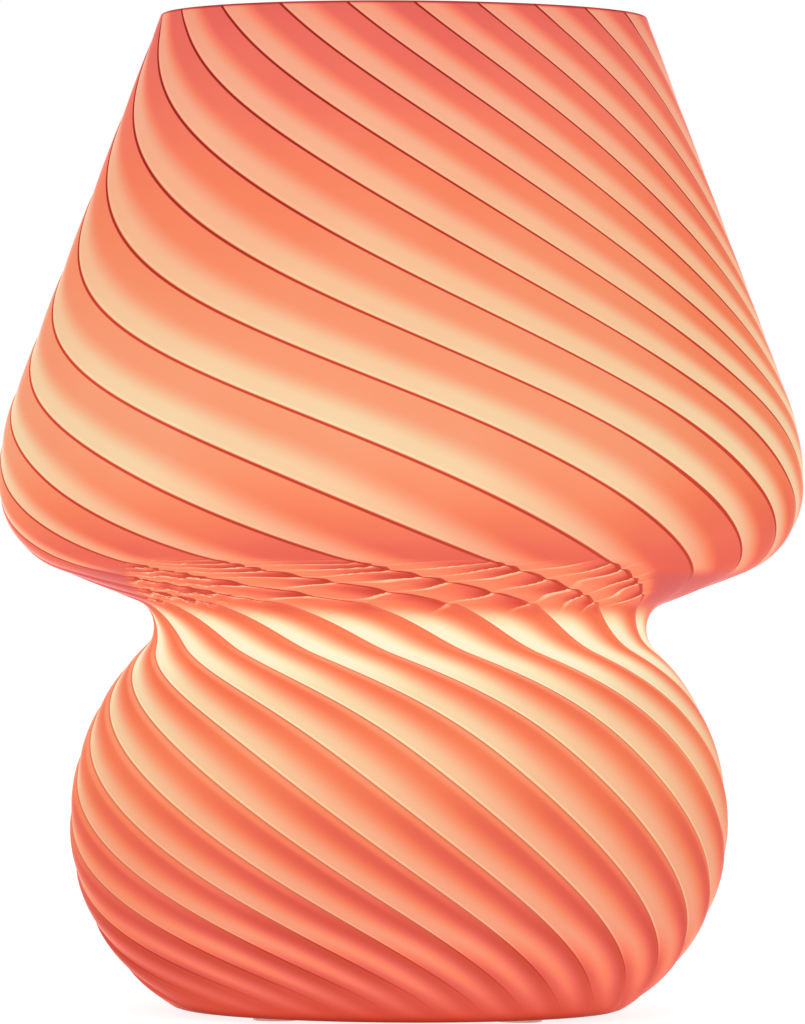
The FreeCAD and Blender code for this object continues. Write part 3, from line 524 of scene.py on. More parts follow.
@dataclass(frozen=True)
class GlassOutline:
    """Sizes of the glass, in millimetres above its own underside."""

    height: float = 222.0
    wall: float = 3.0
    rim_radius: float = 54.3
    shade_radius: float = 90.0
    shade_level: float = 117.4
    shoulder_round: float = 55.1
    lip_round: float = 21.0
    neck_radius: float = 55.1
    neck_round: float = 6.2
    belly_radius: float = 73.6
    belly_level: float = 41.5
    belly_top_round: float = 54.6
    belly_low_round: float = 47.9
    heel_round: float = 4.5
    recess_radius: float = 27.0
    recess_depth: float = 6.5
    boss_rim: float = 4.0
    stud_hole: float = 4.0
    pad_height: float = 1.0
    cord_level: float = 20.0
    cord_hole: float = 5.0

    def runs(self) -> list[Run]:
        """Work out the outline's stretches, each tangent to the one before.

        Returns:
            The stretches from the rim down to the heel.
        """
        shoulder = (self.shade_radius - self.shoulder_round, self.shade_level)
        lip = (self.shade_radius - self.lip_round, self.shade_level)
        crown = (self.belly_radius - self.belly_top_round, self.belly_level)
        bowl = (self.belly_radius - self.belly_low_round, self.belly_level)
        neck_across = self.neck_radius + self.neck_round
        neck_reach = self.neck_round + self.belly_top_round
        neck = (neck_across, crown[1] + math.sqrt(neck_reach ** 2 - (neck_across - crown[0]) ** 2))
        heel_reach = self.belly_low_round - self.heel_round
        heel = (bowl[0] + math.sqrt(heel_reach ** 2 - (bowl[1] - self.heel_round) ** 2), self.heel_round)
        rim = (self.rim_radius, self.height)

        def facing(start: tuple[float, float], end: tuple[float, float]) -> float:
            """Return the direction from one point to another."""
            return math.atan2(end[1] - start[1], end[0] - start[0])

        def on(centre: tuple[float, float], reach: float, angle: float) -> tuple[float, float]:
            """Return the point of a circle at an angle."""
            return centre[0] + reach * math.cos(angle), centre[1] + reach * math.sin(angle)

        turn = facing(shoulder, rim) - math.acos(self.shoulder_round / math.dist(rim, shoulder))
        under = facing(lip, neck) + math.acos((self.lip_round + self.neck_round) / math.dist(lip, neck))
        waist = facing(crown, neck)
        foot = facing(bowl, heel)
        lip_foot, neck_top = on(lip, self.lip_round, under), on(neck, -self.neck_round, under)
        cone_foot = on(shoulder, self.shoulder_round, turn)
        none = (0.0, 0.0)
        return [
            Run("cone", rim, cone_foot),
            Run("shoulder", none, none, self.shoulder_round, shoulder, turn, 0.0),
            Run("lip", none, none, self.lip_round, lip, 0.0, -(-under % (2 * math.pi))),
            Run("under", lip_foot, neck_top),
            Run("neck", none, none, self.neck_round, neck, (under + math.pi) % (2 * math.pi),
                waist + math.pi),
            Run("crown", none, none, self.belly_top_round, crown, waist, 0.0),
            Run("bowl", none, none, self.belly_low_round, bowl, 0.0, foot),
            Run("heel", none, none, self.heel_round, heel, foot, -math.pi / 2),
        ]

    def follow(self, along: np.ndarray, inwards: float = 0.0) -> np.ndarray:
        """Find points of the outline by their distance from the rim.

        Args:
            along: Distances down the outside from the rim.
            inwards: Distance into the glass.

        Returns:
            A radius and a height for each.
        """
        found = np.zeros((len(along), 2))
        start = 0.0
        for run in self.runs():
            length = run.length()
            here = (along >= start - 1e-9) & (along <= start + length + 1e-6)
            found[here] = run.points(np.clip((along[here] - start) / length, 0, 1), inwards)
            start += length
        return found

    def total(self) -> float:
        """Return the length of the outline from the rim to the underside."""
        return sum(run.length() for run in self.runs())


@dataclass(frozen=True)
class Swirl:
    """How the glass twists: 24 stripes, each followed by its number as it runs down and round.

    Twist is the turn in degrees at distances from the rim. Lean and sway shift the stripes once
    round, pinch and slack twice round, in stripes.
    """

    stripes: int = STRIPES
    twist_at: tuple[float, ...] = (0, 35, 70, 100, 128, 150, 165, 178, 195, 220, 250)
    twist: tuple[float, ...] = (-141, -116.3, -84.9, -48.1, -12.6, 16.2, 39.8, 57.8, 75.2, 102.7, 142.5)
    lean_at: tuple[float, ...] = (0, 40, 80, 128, 165, 190, 220, 250)
    lean: tuple[float, ...] = (-0.49, -0.35, -0.75, -1.0, -0.7, -0.3, 0.02, 0.15)
    sway: tuple[float, ...] = (0.85, -0.61, -1.07, -0.32, 0.1, -0.34, -0.43, -0.34)
    pinch_at: tuple[float, ...] = (0, 64, 128, 165, 205, 250)
    pinch: tuple[float, ...] = (0.23, -0.16, -0.12, 0.04, 0.22, 0.5)
    slack: tuple[float, ...] = (-0.41, -0.15, -0.03, -0.1, 0.05, -0.38)

    def angles(self, along: float, numbers: np.ndarray) -> np.ndarray:
        """Find where stripe numbers lie at one height.

        Args:
            along: Distance down the outside from the rim.
            numbers: Stripe numbers.

        Returns:
            An angle in radians for each, 0 at the front and growing to the right.
        """
        where = np.array([along])
        angle = np.radians(np.arange(-900.0, 900.5, 0.5))
        count = angle * self.stripes / (2 * math.pi)
        count = count - smooth_through(self.twist_at, self.twist, where)[0] * self.stripes / 360
        held = np.clip(where, 0, self.lean_at[-1])
        for knots, values, wave in ((self.lean_at, self.lean, np.sin(angle)),
                                    (self.lean_at, self.sway, np.cos(angle)),
                                    (self.pinch_at, self.pinch, np.sin(2 * angle)),
                                    (self.pinch_at, self.slack, np.cos(2 * angle))):
            count = count + smooth_through(knots, values, held)[0] * wave
        return np.interp(numbers, count, angle)


@dataclass(frozen=True)
class Braid:
    """Fine folds under the shade's lip, where the ribs of the shade and of the neck run together.

    The folds are numbered down the glass. They rise to the right, more so to the right of the front,
    and the back repeats the front. At both sides the glass is smooth. Start and end are distances
    from the rim, left and right the folds' ends at the start, in degrees from the front, depth is in
    millimetres and scallop in stripes.
    """

    start: float = 129.0
    end: float = 157.0
    left: float = 43.0
    right: float = 37.0
    depth: float = 0.35
    scallop: float = 0.10

    @staticmethod
    def sides(angle: np.ndarray) -> np.ndarray:
        """Return how far each angle is from the front or the back, in degrees."""
        return np.mod(np.degrees(angle) + 90, 180) - 90

    def strength(self, angle: np.ndarray, along: float) -> np.ndarray:
        """Work out how marked the folds are.

        Args:
            angle: Angles in radians, 0 at the front.
            along: Distance down the outside from the rim.

        Returns:
            From 0 where there are none to 1.
        """
        side = self.sides(angle)
        limit = np.where(side < 0, self.left, self.right) + max(along - self.start, 0.0)
        level = np.full_like(side, along)
        begun = soft_step(level, self.start, self.start + 4)
        ended = soft_step(level, self.end - 4, self.end + 2)
        return begun * (1 - ended) * (1 - soft_step(np.abs(side), limit - 2, limit + 3))

    def count(self, angle: np.ndarray, along: float) -> np.ndarray:
        """Number the folds.

        Args:
            angle: Angles in radians, 0 at the front.
            along: Distance down the outside from the rim.

        Returns:
            A rising number, whole at the lower edge of each fold.
        """
        side = self.sides(angle)
        drop = max(along - self.start, 0.0)
        # The folds lie close together at the lip and wider apart below, and wider still at the right.
        fine = math.log1p(0.67 * drop) / 0.4 * np.maximum(0.78 - 0.0135 * side, 0.28)
        # Two slow waves keep them uneven, and a quick one knots them at the left end.
        wave = 0.12 * np.sin(0.33 * side + 0.35 * drop) + 0.08 * np.sin(0.21 * side - 0.6 * drop + 1.0)
        wave = wave + 0.3 * np.sin(0.95 * side + 0.6 * drop) * soft_step(-side, 28, 42)
        # They climb to the right, and bend down again at the right end.
        lift = 0.13 * side + 0.0008 * side ** 2 - 0.0035 * np.maximum(side - 35, 0) ** 2
        return 8 + fine + lift + wave

    def relief(self, angle: np.ndarray, along: float) -> np.ndarray:
        """Work out how far the folds sink below the glass's face.

        Args:
            angle: Angles in radians, 0 at the front.
            along: Distance down the outside from the rim.

        Returns:
            The depth at each angle, in millimetres.
        """
        share = np.mod(self.count(angle, along), 1.0)
        depth = self.depth * (1 - 0.6 * soft_step(self.sides(angle), 0, 35))
        return depth * self.strength(angle, along) * (0.5 - 0.5 * np.cos(2 * math.pi * share ** 1.5))

    def push(self, angle: np.ndarray, along: float, steps: int) -> np.ndarray:
        """Scallop the grooves where the folds meet them.

        Args:
            angle: Angles of one ring's points, a groove at every so many of them.
            along: The ring's distance down the outside.
            steps: Points to a stripe.

        Returns:
            How far each point moves to the right, in radians.
        """
        grooves = angle[::steps]
        share = np.mod(self.count(grooves, along), 1.0)
        reach = np.minimum(share / 0.15, (1 - share) / 0.85) * self.strength(grooves, along)
        before = np.repeat(reach, steps)
        after = np.repeat(np.roll(reach, -1), steps)
        ends = np.append(grooves, grooves[0] + 2 * math.pi)
        place = (angle - np.repeat(ends[:-1], steps)) / np.repeat(np.diff(ends), steps)
        nearby = before * np.maximum(0, 1 - 3 * place) + after * np.maximum(0, 3 * place - 2)
        return nearby * self.scallop * 2 * math.pi / len(grooves)


class Skin(Enum):
    """Which side of the glass a face is on, by its material's place."""

    OUTSIDE = 0
    INSIDE = 1
    GROUND = 2


@dataclass
class Row:
    """One ring of points of the glass: its place, its side, and how deep and which way it sinks."""

    radius: float
    level: float
    along: float
    skin: Skin
    relief: float = 0.0
    out: tuple[float, float] = (0.0, 0.0)


@dataclass
class GlassBody:
    """The blown glass: shade, neck and base in one piece, with swirled ribs.

    Steps are the places of the points across a stripe, closer where the groove is. The gaps are the
    distances between rings, the finer one where the folds are. Grooves and the rim's rounding are in
    millimetres.
    """

    outline: GlassOutline = field(default_factory=GlassOutline)
    swirl: Swirl = field(default_factory=Swirl)
    braid: Braid = field(default_factory=Braid)
    steps: tuple[float, ...] = (0.0, 0.025, 0.06, 0.13, 0.22, 0.32, 0.42, 0.53, 0.65, 0.77, 0.88, 0.96)
    row_gap: float = 1.25
    fine_gap: float = 0.5
    rim_round: float = 0.5
    shade_groove: float = 0.30
    base_groove: float = 0.65

    @property
    def rim_end(self) -> float:
        """Return how far from the rim its rounding ends."""
        return self.rim_round * 1.2

    def rib_height(self, along: np.ndarray) -> np.ndarray:
        """Work out how deep the grooves are. They deepen below the shade and run out at both ends.

        Args:
            along: Distances down the outside from the rim.

        Returns:
            The depth at each, in millimetres.
        """
        deep = self.shade_groove + (self.base_groove - self.shade_groove) * soft_step(along, 150, 200)
        return deep * soft_step(along, 0.5, 6) * (1 - soft_step(along, 250, 262))

    @staticmethod
    def rib_shape(share: np.ndarray) -> np.ndarray:
        """Work out how far below its crest a rib is across a stripe.

        Args:
            share: Places across a stripe, from 0 to 1.

        Returns:
            From 0 at the crest to 1 in the groove.
        """
        rise = 1 - soft_step(share, -0.12, 0.62)
        fall = soft_step(share, 0.86, 1.0) * 0.85
        return np.maximum(rise, fall)

    def outer_rows(self) -> list[Row]:
        """Space the rings down the outside.

        Returns:
            The rings from the rim to the underside, closer where the folds are.
        """
        total = self.outline.total()
        top, low = self.braid.start, self.braid.end + 1.0
        along = np.concatenate([np.arange(self.rim_end, top, self.row_gap),
                                np.arange(top, low, self.fine_gap),
                                np.arange(low, total - 0.3, self.row_gap), [total]])
        points = self.outline.follow(along)
        inside = self.outline.follow(along, 1.0)
        relief = self.rib_height(along)
        return [Row(point[0], point[1], place, Skin.OUTSIDE, depth, tuple(point - within))
                for point, within, place, depth in zip(points, inside, along, relief)]

    def rim_rows(self, foot: Row, inwards: float) -> list[Row]:
        """Round one edge of the ground rim, from the flat top down to a ring of a wall.

        Args:
            foot: The wall's first ring.
            inwards: The wall's distance into the glass, 0 for the outside.

        Returns:
            The rings from the flat top to just above that ring.
        """
        top = self.outline.height
        end = np.array([foot.radius, foot.level])
        high, low = self.outline.follow(np.array([0.0, 30.0]), inwards)
        corner = high + (low - high) * (high[1] - top) / (high[1] - low[1])
        side = -1 if inwards else 1
        flat = np.array([corner[0] - side * self.rim_round, top])
        rows = []
        for share in (0.0, 0.2, 0.45, 0.7):
            point = (1 - share) ** 2 * flat + 2 * share * (1 - share) * corner + share ** 2 * end
            skin = Skin.GROUND if share < 0.2 else foot.skin
            rows.append(Row(point[0], point[1], share * foot.along, skin))
        return rows

    def floor_rows(self, end: float) -> list[Row]:
        """Space the rings under the floor, through the stud hole and over the boss.

        Args:
            end: The last outer ring's distance from the rim.

        Returns:
            The rings from the underside round to the inside of the floor.
        """
        g = self.outline
        recess, deep = g.recess_radius, g.recess_depth
        boss, top = recess + g.boss_rim, deep + g.wall
        heel = g.follow(np.array([end]))[0][0]
        middle = 15.0
        under = [(heel * 0.8 + recess * 0.2, 0.0), (heel * 0.4 + recess * 0.6, 0.0), (recess + 0.5, 0.0),
                 (recess, 0.4), (recess, deep), (middle, deep), (g.stud_hole, deep), (g.stud_hole, top)]
        over = [(middle, top), (boss - 0.5, top), (boss, top - 0.5), (boss, g.wall),
                (boss * 0.6 + heel * 0.4, g.wall), (boss * 0.25 + heel * 0.75, g.wall)]
        return [Row(radius, level, end + (heel - radius) * 0.4, skin)
                for skin, plan in ((Skin.GROUND, under), (Skin.INSIDE, over)) for radius, level in plan]

    def inner_rows(self) -> list[Row]:
        """Space the rings up the inside, from the floor to the rim.

        Returns:
            The rings, closer round the tight bends.
        """
        total = self.outline.total()
        start = 0.0
        along: list[float] = []
        for run in self.outline.runs():
            length = run.length()
            gap = 2.0 if run.name in ("neck", "heel") else 5.5
            count = max(3, round(length / gap))
            along += list(start + length * np.arange(count) / count)
            start += length
        along = [self.rim_end] + [place for place in along if place > self.rim_end] + [total]
        places = np.array(along[::-1])
        points = self.outline.follow(places, self.outline.wall)
        return [Row(point[0], point[1], place, Skin.INSIDE) for point, place in zip(points, places)]

    def rows(self) -> list[Row]:
        """Put all rings in order.

        Returns:
            The rings, once round the section.
        """
        outer = self.outer_rows()
        inner = self.inner_rows()
        rim_out = self.rim_rows(outer[0], 0.0)
        rim_in = self.rim_rows(inner[-1], self.outline.wall)
        return rim_out + outer + self.floor_rows(outer[-1].along) + inner + rim_in[::-1]

    def columns(self) -> np.ndarray:
        """Return the stripe numbers of the columns of points."""
        return (np.arange(self.swirl.stripes)[:, None] + np.array(self.steps)[None, :]).ravel()

    def build(self) -> bpy.types.Object:
        """Make the glass's mesh.

        Returns:
            The object, with its stripe numbers in the map called swirl.
        """
        rows, numbers = self.rows(), self.columns()
        shape = self.rib_shape(np.mod(numbers, 1.0))
        rings, folds = [], []
        for row in rows:
            angle = self.swirl.angles(row.along, numbers)
            sink = row.relief * shape
            if row.skin is Skin.OUTSIDE:
                angle = angle + self.braid.push(angle, row.along, len(self.steps))
                sink = sink + self.braid.relief(angle, row.along)
                folds.append((self.braid.count(angle, row.along) / FOLD_MAP,
                              self.braid.strength(angle, row.along)))
            else:
                folds.append((np.zeros_like(angle), np.zeros_like(angle)))
            radius = row.radius - sink * row.out[0]
            level = row.level - sink * row.out[1] + self.outline.pad_height
            rings.append(np.stack([radius * np.sin(angle), -radius * np.cos(angle), level], axis=1))
        points = np.concatenate(rings) * MM
        count, wide = len(rows), len(numbers)
        ring = np.arange(count)[:, None]
        column = np.arange(wide)[None, :]
        following, beside = (ring + 1) % count, (column + 1) % wide
        faces = np.stack([ring * wide + column, following * wide + column,
                          following * wide + beside, ring * wide + beside], axis=2).reshape(-1, 4)
        mesh = bpy.data.meshes.new("glass_swirl")
        mesh.from_pydata(points.tolist(), [], faces.tolist())
        self.lay_maps(mesh, rows, numbers, np.array(folds))
        skins = np.repeat([self.skin_of(rows, at) for at in range(count)], wide)
        mesh.polygons.foreach_set("material_index", skins.astype(np.int32))
        mesh.shade_smooth()
        self.crease(mesh, rows, wide, len(self.steps))
        return add_object("glass_swirl", mesh)

    @staticmethod
    def skin_of(rows: list[Row], at: int) -> int:
        """Find the side that the faces under a ring belong to.

        Args:
            rows: All rings.
            at: The ring's place among them.

        Returns:
            The place of the side's material.
        """
        following = rows[(at + 1) % len(rows)]
        if Skin.GROUND in (rows[at].skin, following.skin):
            return Skin.GROUND.value
        return rows[at].skin.value

    def lay_maps(self, mesh: bpy.types.Mesh, rows: list[Row], numbers: np.ndarray,
                 folds: np.ndarray) -> None:
        """Lay the stripe map, the map of the folds, and a plain one for the export's own use.

        Args:
            mesh: The glass's mesh.
            rows: Its rings.
            numbers: The columns' stripe numbers.
            folds: Each point's fold number, in parts of FOLD_MAP, and how marked the fold is.
        """
        along = np.array([row.along for row in rows] + [rows[0].along]) / MAP_LENGTH
        share = np.append(numbers, self.swirl.stripes) / self.swirl.stripes
        path = np.array([[row.radius, row.level] for row in rows] + [[rows[0].radius, rows[0].level]])
        steps = np.linalg.norm(np.diff(path, axis=0), axis=1)
        # The outside gets more of the plain map's room than the hidden side.
        steps[[row.skin is not Skin.OUTSIDE for row in rows]] *= 0.45
        down = 1 - np.append(0, np.cumsum(steps)) / steps.sum()
        wide = len(numbers)
        ring, column = np.divmod(np.arange(len(rows) * wide), wide)
        across = np.stack([column, column, column + 1, column + 1], axis=1).ravel()
        lengthwise = np.stack([ring, ring + 1, ring + 1, ring], axis=1).ravel()
        spots = lengthwise % len(rows), across % wide
        maps = {"swirl": (share[across], along[lengthwise]), "OFBake": (share[across], down[lengthwise]),
                "folds": (folds[:, 0][spots], folds[:, 1][spots])}
        for name, (flat, upright) in maps.items():
            layer = mesh.uv_layers.new(name=name)
            layer.uv.foreach_set("vector", np.stack([flat, upright], axis=1).astype(np.float32).ravel())

    @staticmethod
    def crease(mesh: bpy.types.Mesh, rows: list[Row], wide: int, steps: int) -> None:
        """Mark the grooves and the floor's corners as sharp.

        Args:
            mesh: The glass's mesh.
            rows: Its rings.
            wide: Points in a ring.
            steps: Points in a stripe.
        """
        ends = np.zeros(len(mesh.edges) * 2, np.int32)
        mesh.edges.foreach_get("vertices", ends)
        ring, column = np.divmod(ends.reshape(-1, 2), wide)
        groove = (column[:, 0] == column[:, 1]) & (column[:, 0] % steps == 0)
        deep = np.array([row.relief > 0.05 for row in rows])
        corner = np.array([row.skin is Skin.GROUND and row.along > 1 for row in rows])
        sharp = groove & deep[ring[:, 0]] & deep[ring[:, 1]]
        sharp |= (ring[:, 0] == ring[:, 1]) & corner[ring[:, 0]]
        layer = mesh.attributes.new("sharp_edge", "BOOLEAN", "EDGE")
        layer.data.foreach_set("value", sharp)

    def drill(self, glass: bpy.types.Object) -> None:
        """Cut the cord hole, square to the wall.

        Args:
            glass: The glass, which gets a new mesh.
        """
        g = self.outline
        tilt = math.asin((g.belly_level - g.cord_level) / g.belly_low_round)
        reach = g.belly_radius - g.belly_low_round + g.belly_low_round * math.cos(tilt)
        middle = Vector((0, reach - g.wall / 2 * math.cos(tilt),
                         g.cord_level + g.pad_height + g.wall / 2 * math.sin(tilt))) * MM
        sides, half = 48, g.wall * 1.6
        turn = np.linspace(0, 2 * math.pi, sides, endpoint=False)
        rim = np.stack([g.cord_hole * np.cos(turn), g.cord_hole * np.sin(turn)], axis=1)
        points = [(x * MM, y * MM, z * MM) for z in (-half, half) for x, y in rim]
        walls = [(i, (i + 1) % sides, sides + (i + 1) % sides, sides + i) for i in range(sides)]
        caps = [tuple(range(sides))[::-1], tuple(range(sides, 2 * sides))]
        mesh = bpy.data.meshes.new("drill")
        mesh.from_pydata(points, [], walls + caps)
        drill = add_object("drill", mesh)
        axis = Vector((0, math.cos(tilt), -math.sin(tilt)))
        turned = axis.to_track_quat("Z", "Y").to_matrix().to_4x4()
        drill.matrix_world = Matrix.Translation(middle) @ turned
        cut = glass.modifiers.new("cord_hole", "BOOLEAN")
        cut.operation, cut.solver, cut.object = "DIFFERENCE", "EXACT", drill
        bpy.context.view_layer.update()
        with_hole = glass.evaluated_get(bpy.context.evaluated_depsgraph_get())
        drilled = bpy.data.meshes.new_from_object(with_hole)
        glass.modifiers.remove(cut)
        glass.data = drilled
        bpy.data.objects.remove(drill)

    def dress(self, glass: bpy.types.Object) -> None:
        """Give the glass its three finishes.

        Args:
            glass: The glass.
        """
        glass.data.materials.clear()
        for finish in (GlassFinish("coral glass"), GlassFinish("coral glass, inside", Skin.INSIDE),
                       GlassFinish("ground glass", Skin.GROUND)):
            glass.data.materials.append(finish.material())


@dataclass(frozen=True)
class Station:
    """How much light comes through at one height of the glass, and how a stripe shades there.

    Along is the distance from the rim in millimetres. Clear, coloured and line are the light at a
    stripe's pale side, its deep side and the dark line between two stripes. The fall from pale to
    deep starts and ends at a share of the stripe. Warm is 0 for pinker glass and 1 for more orange.
    Lit is the share of the full glow.
    """

    along: float
    clear: float
    coloured: float
    line: float
    fall_start: float
    fall_end: float
    warm: float
    lit: float


STATIONS = (
    Station(0, 0.62, 0.43, 0.16, 0.18, 0.62, 0.0, 0.80),
    Station(20, 0.69, 0.47, 0.17, 0.20, 0.62, 0.15, 0.80),
    Station(50, 0.735, 0.545, 0.22, 0.20, 0.62, 0.7, 0.80),
    Station(85, 0.82, 0.615, 0.29, 0.20, 0.62, 1.0, 0.80),
    Station(102, 0.845, 0.625, 0.30, 0.18, 0.62, 1.0, 0.82),
    Station(112, 0.81, 0.57, 0.29, 0.12, 0.58, 0.9, 0.88),
    Station(122, 0.74, 0.49, 0.28, 0.06, 0.52, 0.6, 0.93),
    Station(132, 0.66, 0.43, 0.30, 0.05, 0.50, 0.5, 0.97),
    Station(150, 0.62, 0.46, 0.31, 0.08, 0.60, 0.5, 0.95),
    Station(160, 0.98, 0.50, 0.50, 0.18, 0.78, 1.0, 0.90),
    Station(167, 0.99, 0.50, 0.48, 0.22, 0.80, 1.0, 0.86),
    Station(180, 0.88, 0.49, 0.44, 0.12, 0.74, 1.0, 0.80),
    Station(195, 0.79, 0.50, 0.45, 0.10, 0.72, 1.0, 0.82),
    Station(210, 0.715, 0.435, 0.41, 0.08, 0.72, 0.8, 0.84),
    Station(228, 0.65, 0.38, 0.35, 0.14, 0.80, 0.5, 0.90),
    Station(243, 0.54, 0.33, 0.28, 0.36, 0.93, 0.2, 0.97),
    Station(252, 0.445, 0.35, 0.33, 0.36, 0.86, 0.4, 1.0),
    Station(257, 0.38, 0.34, 0.34, 0.36, 0.86, 0.8, 1.0),
    Station(259.5, 0.28, 0.27, 0.27, 0.36, 0.86, 1.0, 1.0),
    Station(262.5, 0.11, 0.11, 0.11, 0.36, 0.86, 1.0, 1.0),
)


@dataclass
class Spot:
    """Where a place on the glass lies.

    Along is its distance from the rim in parts of MAP_LENGTH, and down the same in millimetres.
    Number is the stripe's number, and share the place across that stripe, from 0 to 1. Across is the
    distance to the right of the axis in millimetres, and left and right say from 0 to 1 how far the
    place is to one side.
    """

    along: Socket
    down: Socket
    number: Socket
    share: Socket
    across: Socket
    left: Socket
    right: Socket


@dataclass
class Shade:
    """What a place on the glass shows.

    Level is the light that comes through, from 0 to 1. The other three say from 0 to 1 where the fine
    folds, the tan seams between the base's stripes and the painted mauve shade under the shade's two
    sides are.
    """

    level: Socket
    folds: Level = 0.0
    seam: Level = 0.0
    painted_lip_shade: Level = 0.0


@dataclass(frozen=True)
class GlassFinish:
    """Coral glass over an opal layer, as light from inside shows it.

    The more light comes through, the paler the colour. Shine holds that scale for the warmest glass,
    and rose for the pinkest. Glow is the strength of that light, and body the share of the colour
    that shows under the lamp in the room. The rim lets less light through. The side amounts are
    painted shade, how much darker the shade's right and the base's left are drawn. The fold amounts
    are painted shade deepening the folds and a painted highlight along their edges.
    """

    name: str
    skin: Skin = Skin.OUTSIDE
    shine: tuple[tuple[float, str], ...] = (
        (0.15, "8a2214"), (0.24, "b43824"), (0.30, "cf4833"), (0.38, "e45b48"), (0.455, "f27254"),
        (0.52, "fb855c"), (0.62, "fd9e76"), (0.70, "fdb288"), (0.79, "fcc99d"), (0.85, "fcd9ac"),
        (0.91, "fbe8b9"), (0.95, "fcf1c4"), (1.00, "fefddc"))
    rose: tuple[tuple[float, str], ...] = (
        (0.15, "8a2420"), (0.26, "b63a30"), (0.33, "d0503f"), (0.44, "ee6c60"), (0.49, "f97d67"),
        (0.53, "fd876a"), (0.60, "fb9a7c"), (0.66, "faa88a"), (0.72, "fcb695"), (0.81, "fdcea8"),
        (0.88, "fde0b6"), (1.00, "fdf8d0"))
    seam: str = "bd8f66"
    # Colour of the painted shade under the lip at the shade's two sides, a mauve tint.
    painted_lip_shade: str = "cf6265"
    glow: float = 0.87
    body: float = 0.42
    rim: float = 0.22
    ground_rim: float = 0.36
    # Painted shade on the shade's right and the base's left, then painted shade and highlight on the
    # folds.
    painted_right_shade: float = 0.085
    painted_left_shade: float = 0.09
    fold_painted_shade: float = 0.19
    fold_painted_highlight: float = 0.29

    def read(self, graph: Graph, spot: Spot, level: str) -> Socket:
        """Read one of the stations' levels at a place's height."""
        return graph.curve(spot.along, [(at.along / MAP_LENGTH, getattr(at, level)) for at in STATIONS])

    def spot(self, graph: Graph) -> Spot:
        """Find where each place lies.

        Args:
            graph: The material being built.

        Returns:
            The place on the stripes and on the body.
        """
        turned, along = graph.map("swirl")
        number = graph.times(turned, STRIPES)
        across = graph.times(graph.parts(graph.place())[0], 1 / MM)
        return Spot(along, graph.times(along, MAP_LENGTH), number, graph.number("FRACT", number), across,
                    graph.drop(across, -65, -30), graph.span(across, 42, 78))

    def folds(self, graph: Graph, spot: Spot) -> tuple[Socket, Socket, Socket]:
        """Work out the fine cross folds under the shade's lip, with painted shade and a painted
        highlight.

        Args:
            graph: The material being built.
            spot: The place.

        Returns:
            Where the folds are, how much light they let through, and their lower edges.
        """
        number, here = graph.map("folds")
        fold = graph.number("FRACT", graph.times(number, FOLD_MAP))
        # Painted shade darkens each fold towards its next edge, and a painted highlight runs just above
        # its own edge.
        deep = graph.times(graph.span(fold, 0.25, 0.95), graph.span(spot.share, 0.3, 1.0, 0.1, 1.0))
        fold_highlight = graph.times(graph.drop(fold, 0.05, 0.20), graph.span(spot.share, 0.05, 0.65, 0.2, 1.0))
        level = graph.minus(graph.span(spot.share, 0.0, 1.0, 0.58, 0.49),
                            graph.times(deep, self.fold_painted_shade))
        edge = graph.times(graph.span(fold, 0.90, 0.97), graph.span(spot.share, 0.45, 1.0), here)
        return here, graph.plus(level, graph.times(fold_highlight, self.fold_painted_highlight)), edge

    def stripes(self, graph: Graph, spot: Spot) -> Socket:
        """Shade each stripe from its pale side to its deep side.

        Painted shade darkens the shade's right and the left of the base. On the base the deep side
        lightens again towards the groove, and near the foot the pale side starts deep. A narrow glint
        runs along the pale side's edge.

        Args:
            graph: The material being built.
            spot: The place.

        Returns:
            How much light comes through.
        """
        # Painted shade: the shade's right and the base's left are drawn darker.
        painted_right_shade_mask = graph.times(spot.right, graph.span(spot.down, 18, 51), graph.drop(spot.down, 114, 129))
        lower = graph.times(spot.left, graph.span(spot.down, 198, 231))
        coloured = graph.minus(self.read(graph, spot, "coloured"), graph.times(painted_right_shade_mask, self.painted_right_shade))
        clear = graph.minus(self.read(graph, spot, "clear"), graph.times(lower, self.painted_left_shade))
        fall = graph.span(spot.share, self.read(graph, spot, "fall_start"),
                          self.read(graph, spot, "fall_end"))
        foot = graph.times(graph.span(spot.share, 0.0, 0.40, 0.65, 0.0), graph.span(spot.down, 231, 246))
        rise = graph.times(graph.span(spot.share, 0.78, 0.90), graph.span(spot.down, 159, 174),
                           graph.span(spot.down, 217.5, 234, 0.3, 0.0))
        fall = graph.number("SUBTRACT", graph.larger(fall, foot), rise, clamp=True)
        glint = graph.times(graph.drop(spot.share, 0.02, 0.055), graph.drop(spot.down, 231, 246),
                            graph.span(spot.down, 156, 180, 0.045, 0.10))
        return graph.plus(graph.between(fall, clear, coloured), glint)

    def lines(self, graph: Graph, spot: Spot) -> Socket:
        """Draw the dark line between two stripes, thinner on the base and bolder at the shade's right.

        Args:
            graph: The material being built.
            spot: The place.

        Returns:
            From 0 beside the line to 1 on it.
        """
        start = graph.minus(graph.span(spot.down, 150, 168, 0.934, 0.948),
                            graph.times(spot.right, graph.span(spot.down, 108, 126, 0.065, 0.0)))
        return graph.times(graph.span(spot.share, start, graph.plus(start, 0.019)),
                           graph.drop(spot.share, 0.977, 0.995))

    def light(self, graph: Graph, spot: Spot) -> Shade:
        """Work out how much light comes through the outside, and where it has marks of its own.

        Args:
            graph: The material being built.
            spot: The place.

        Returns:
            What the place shows.
        """
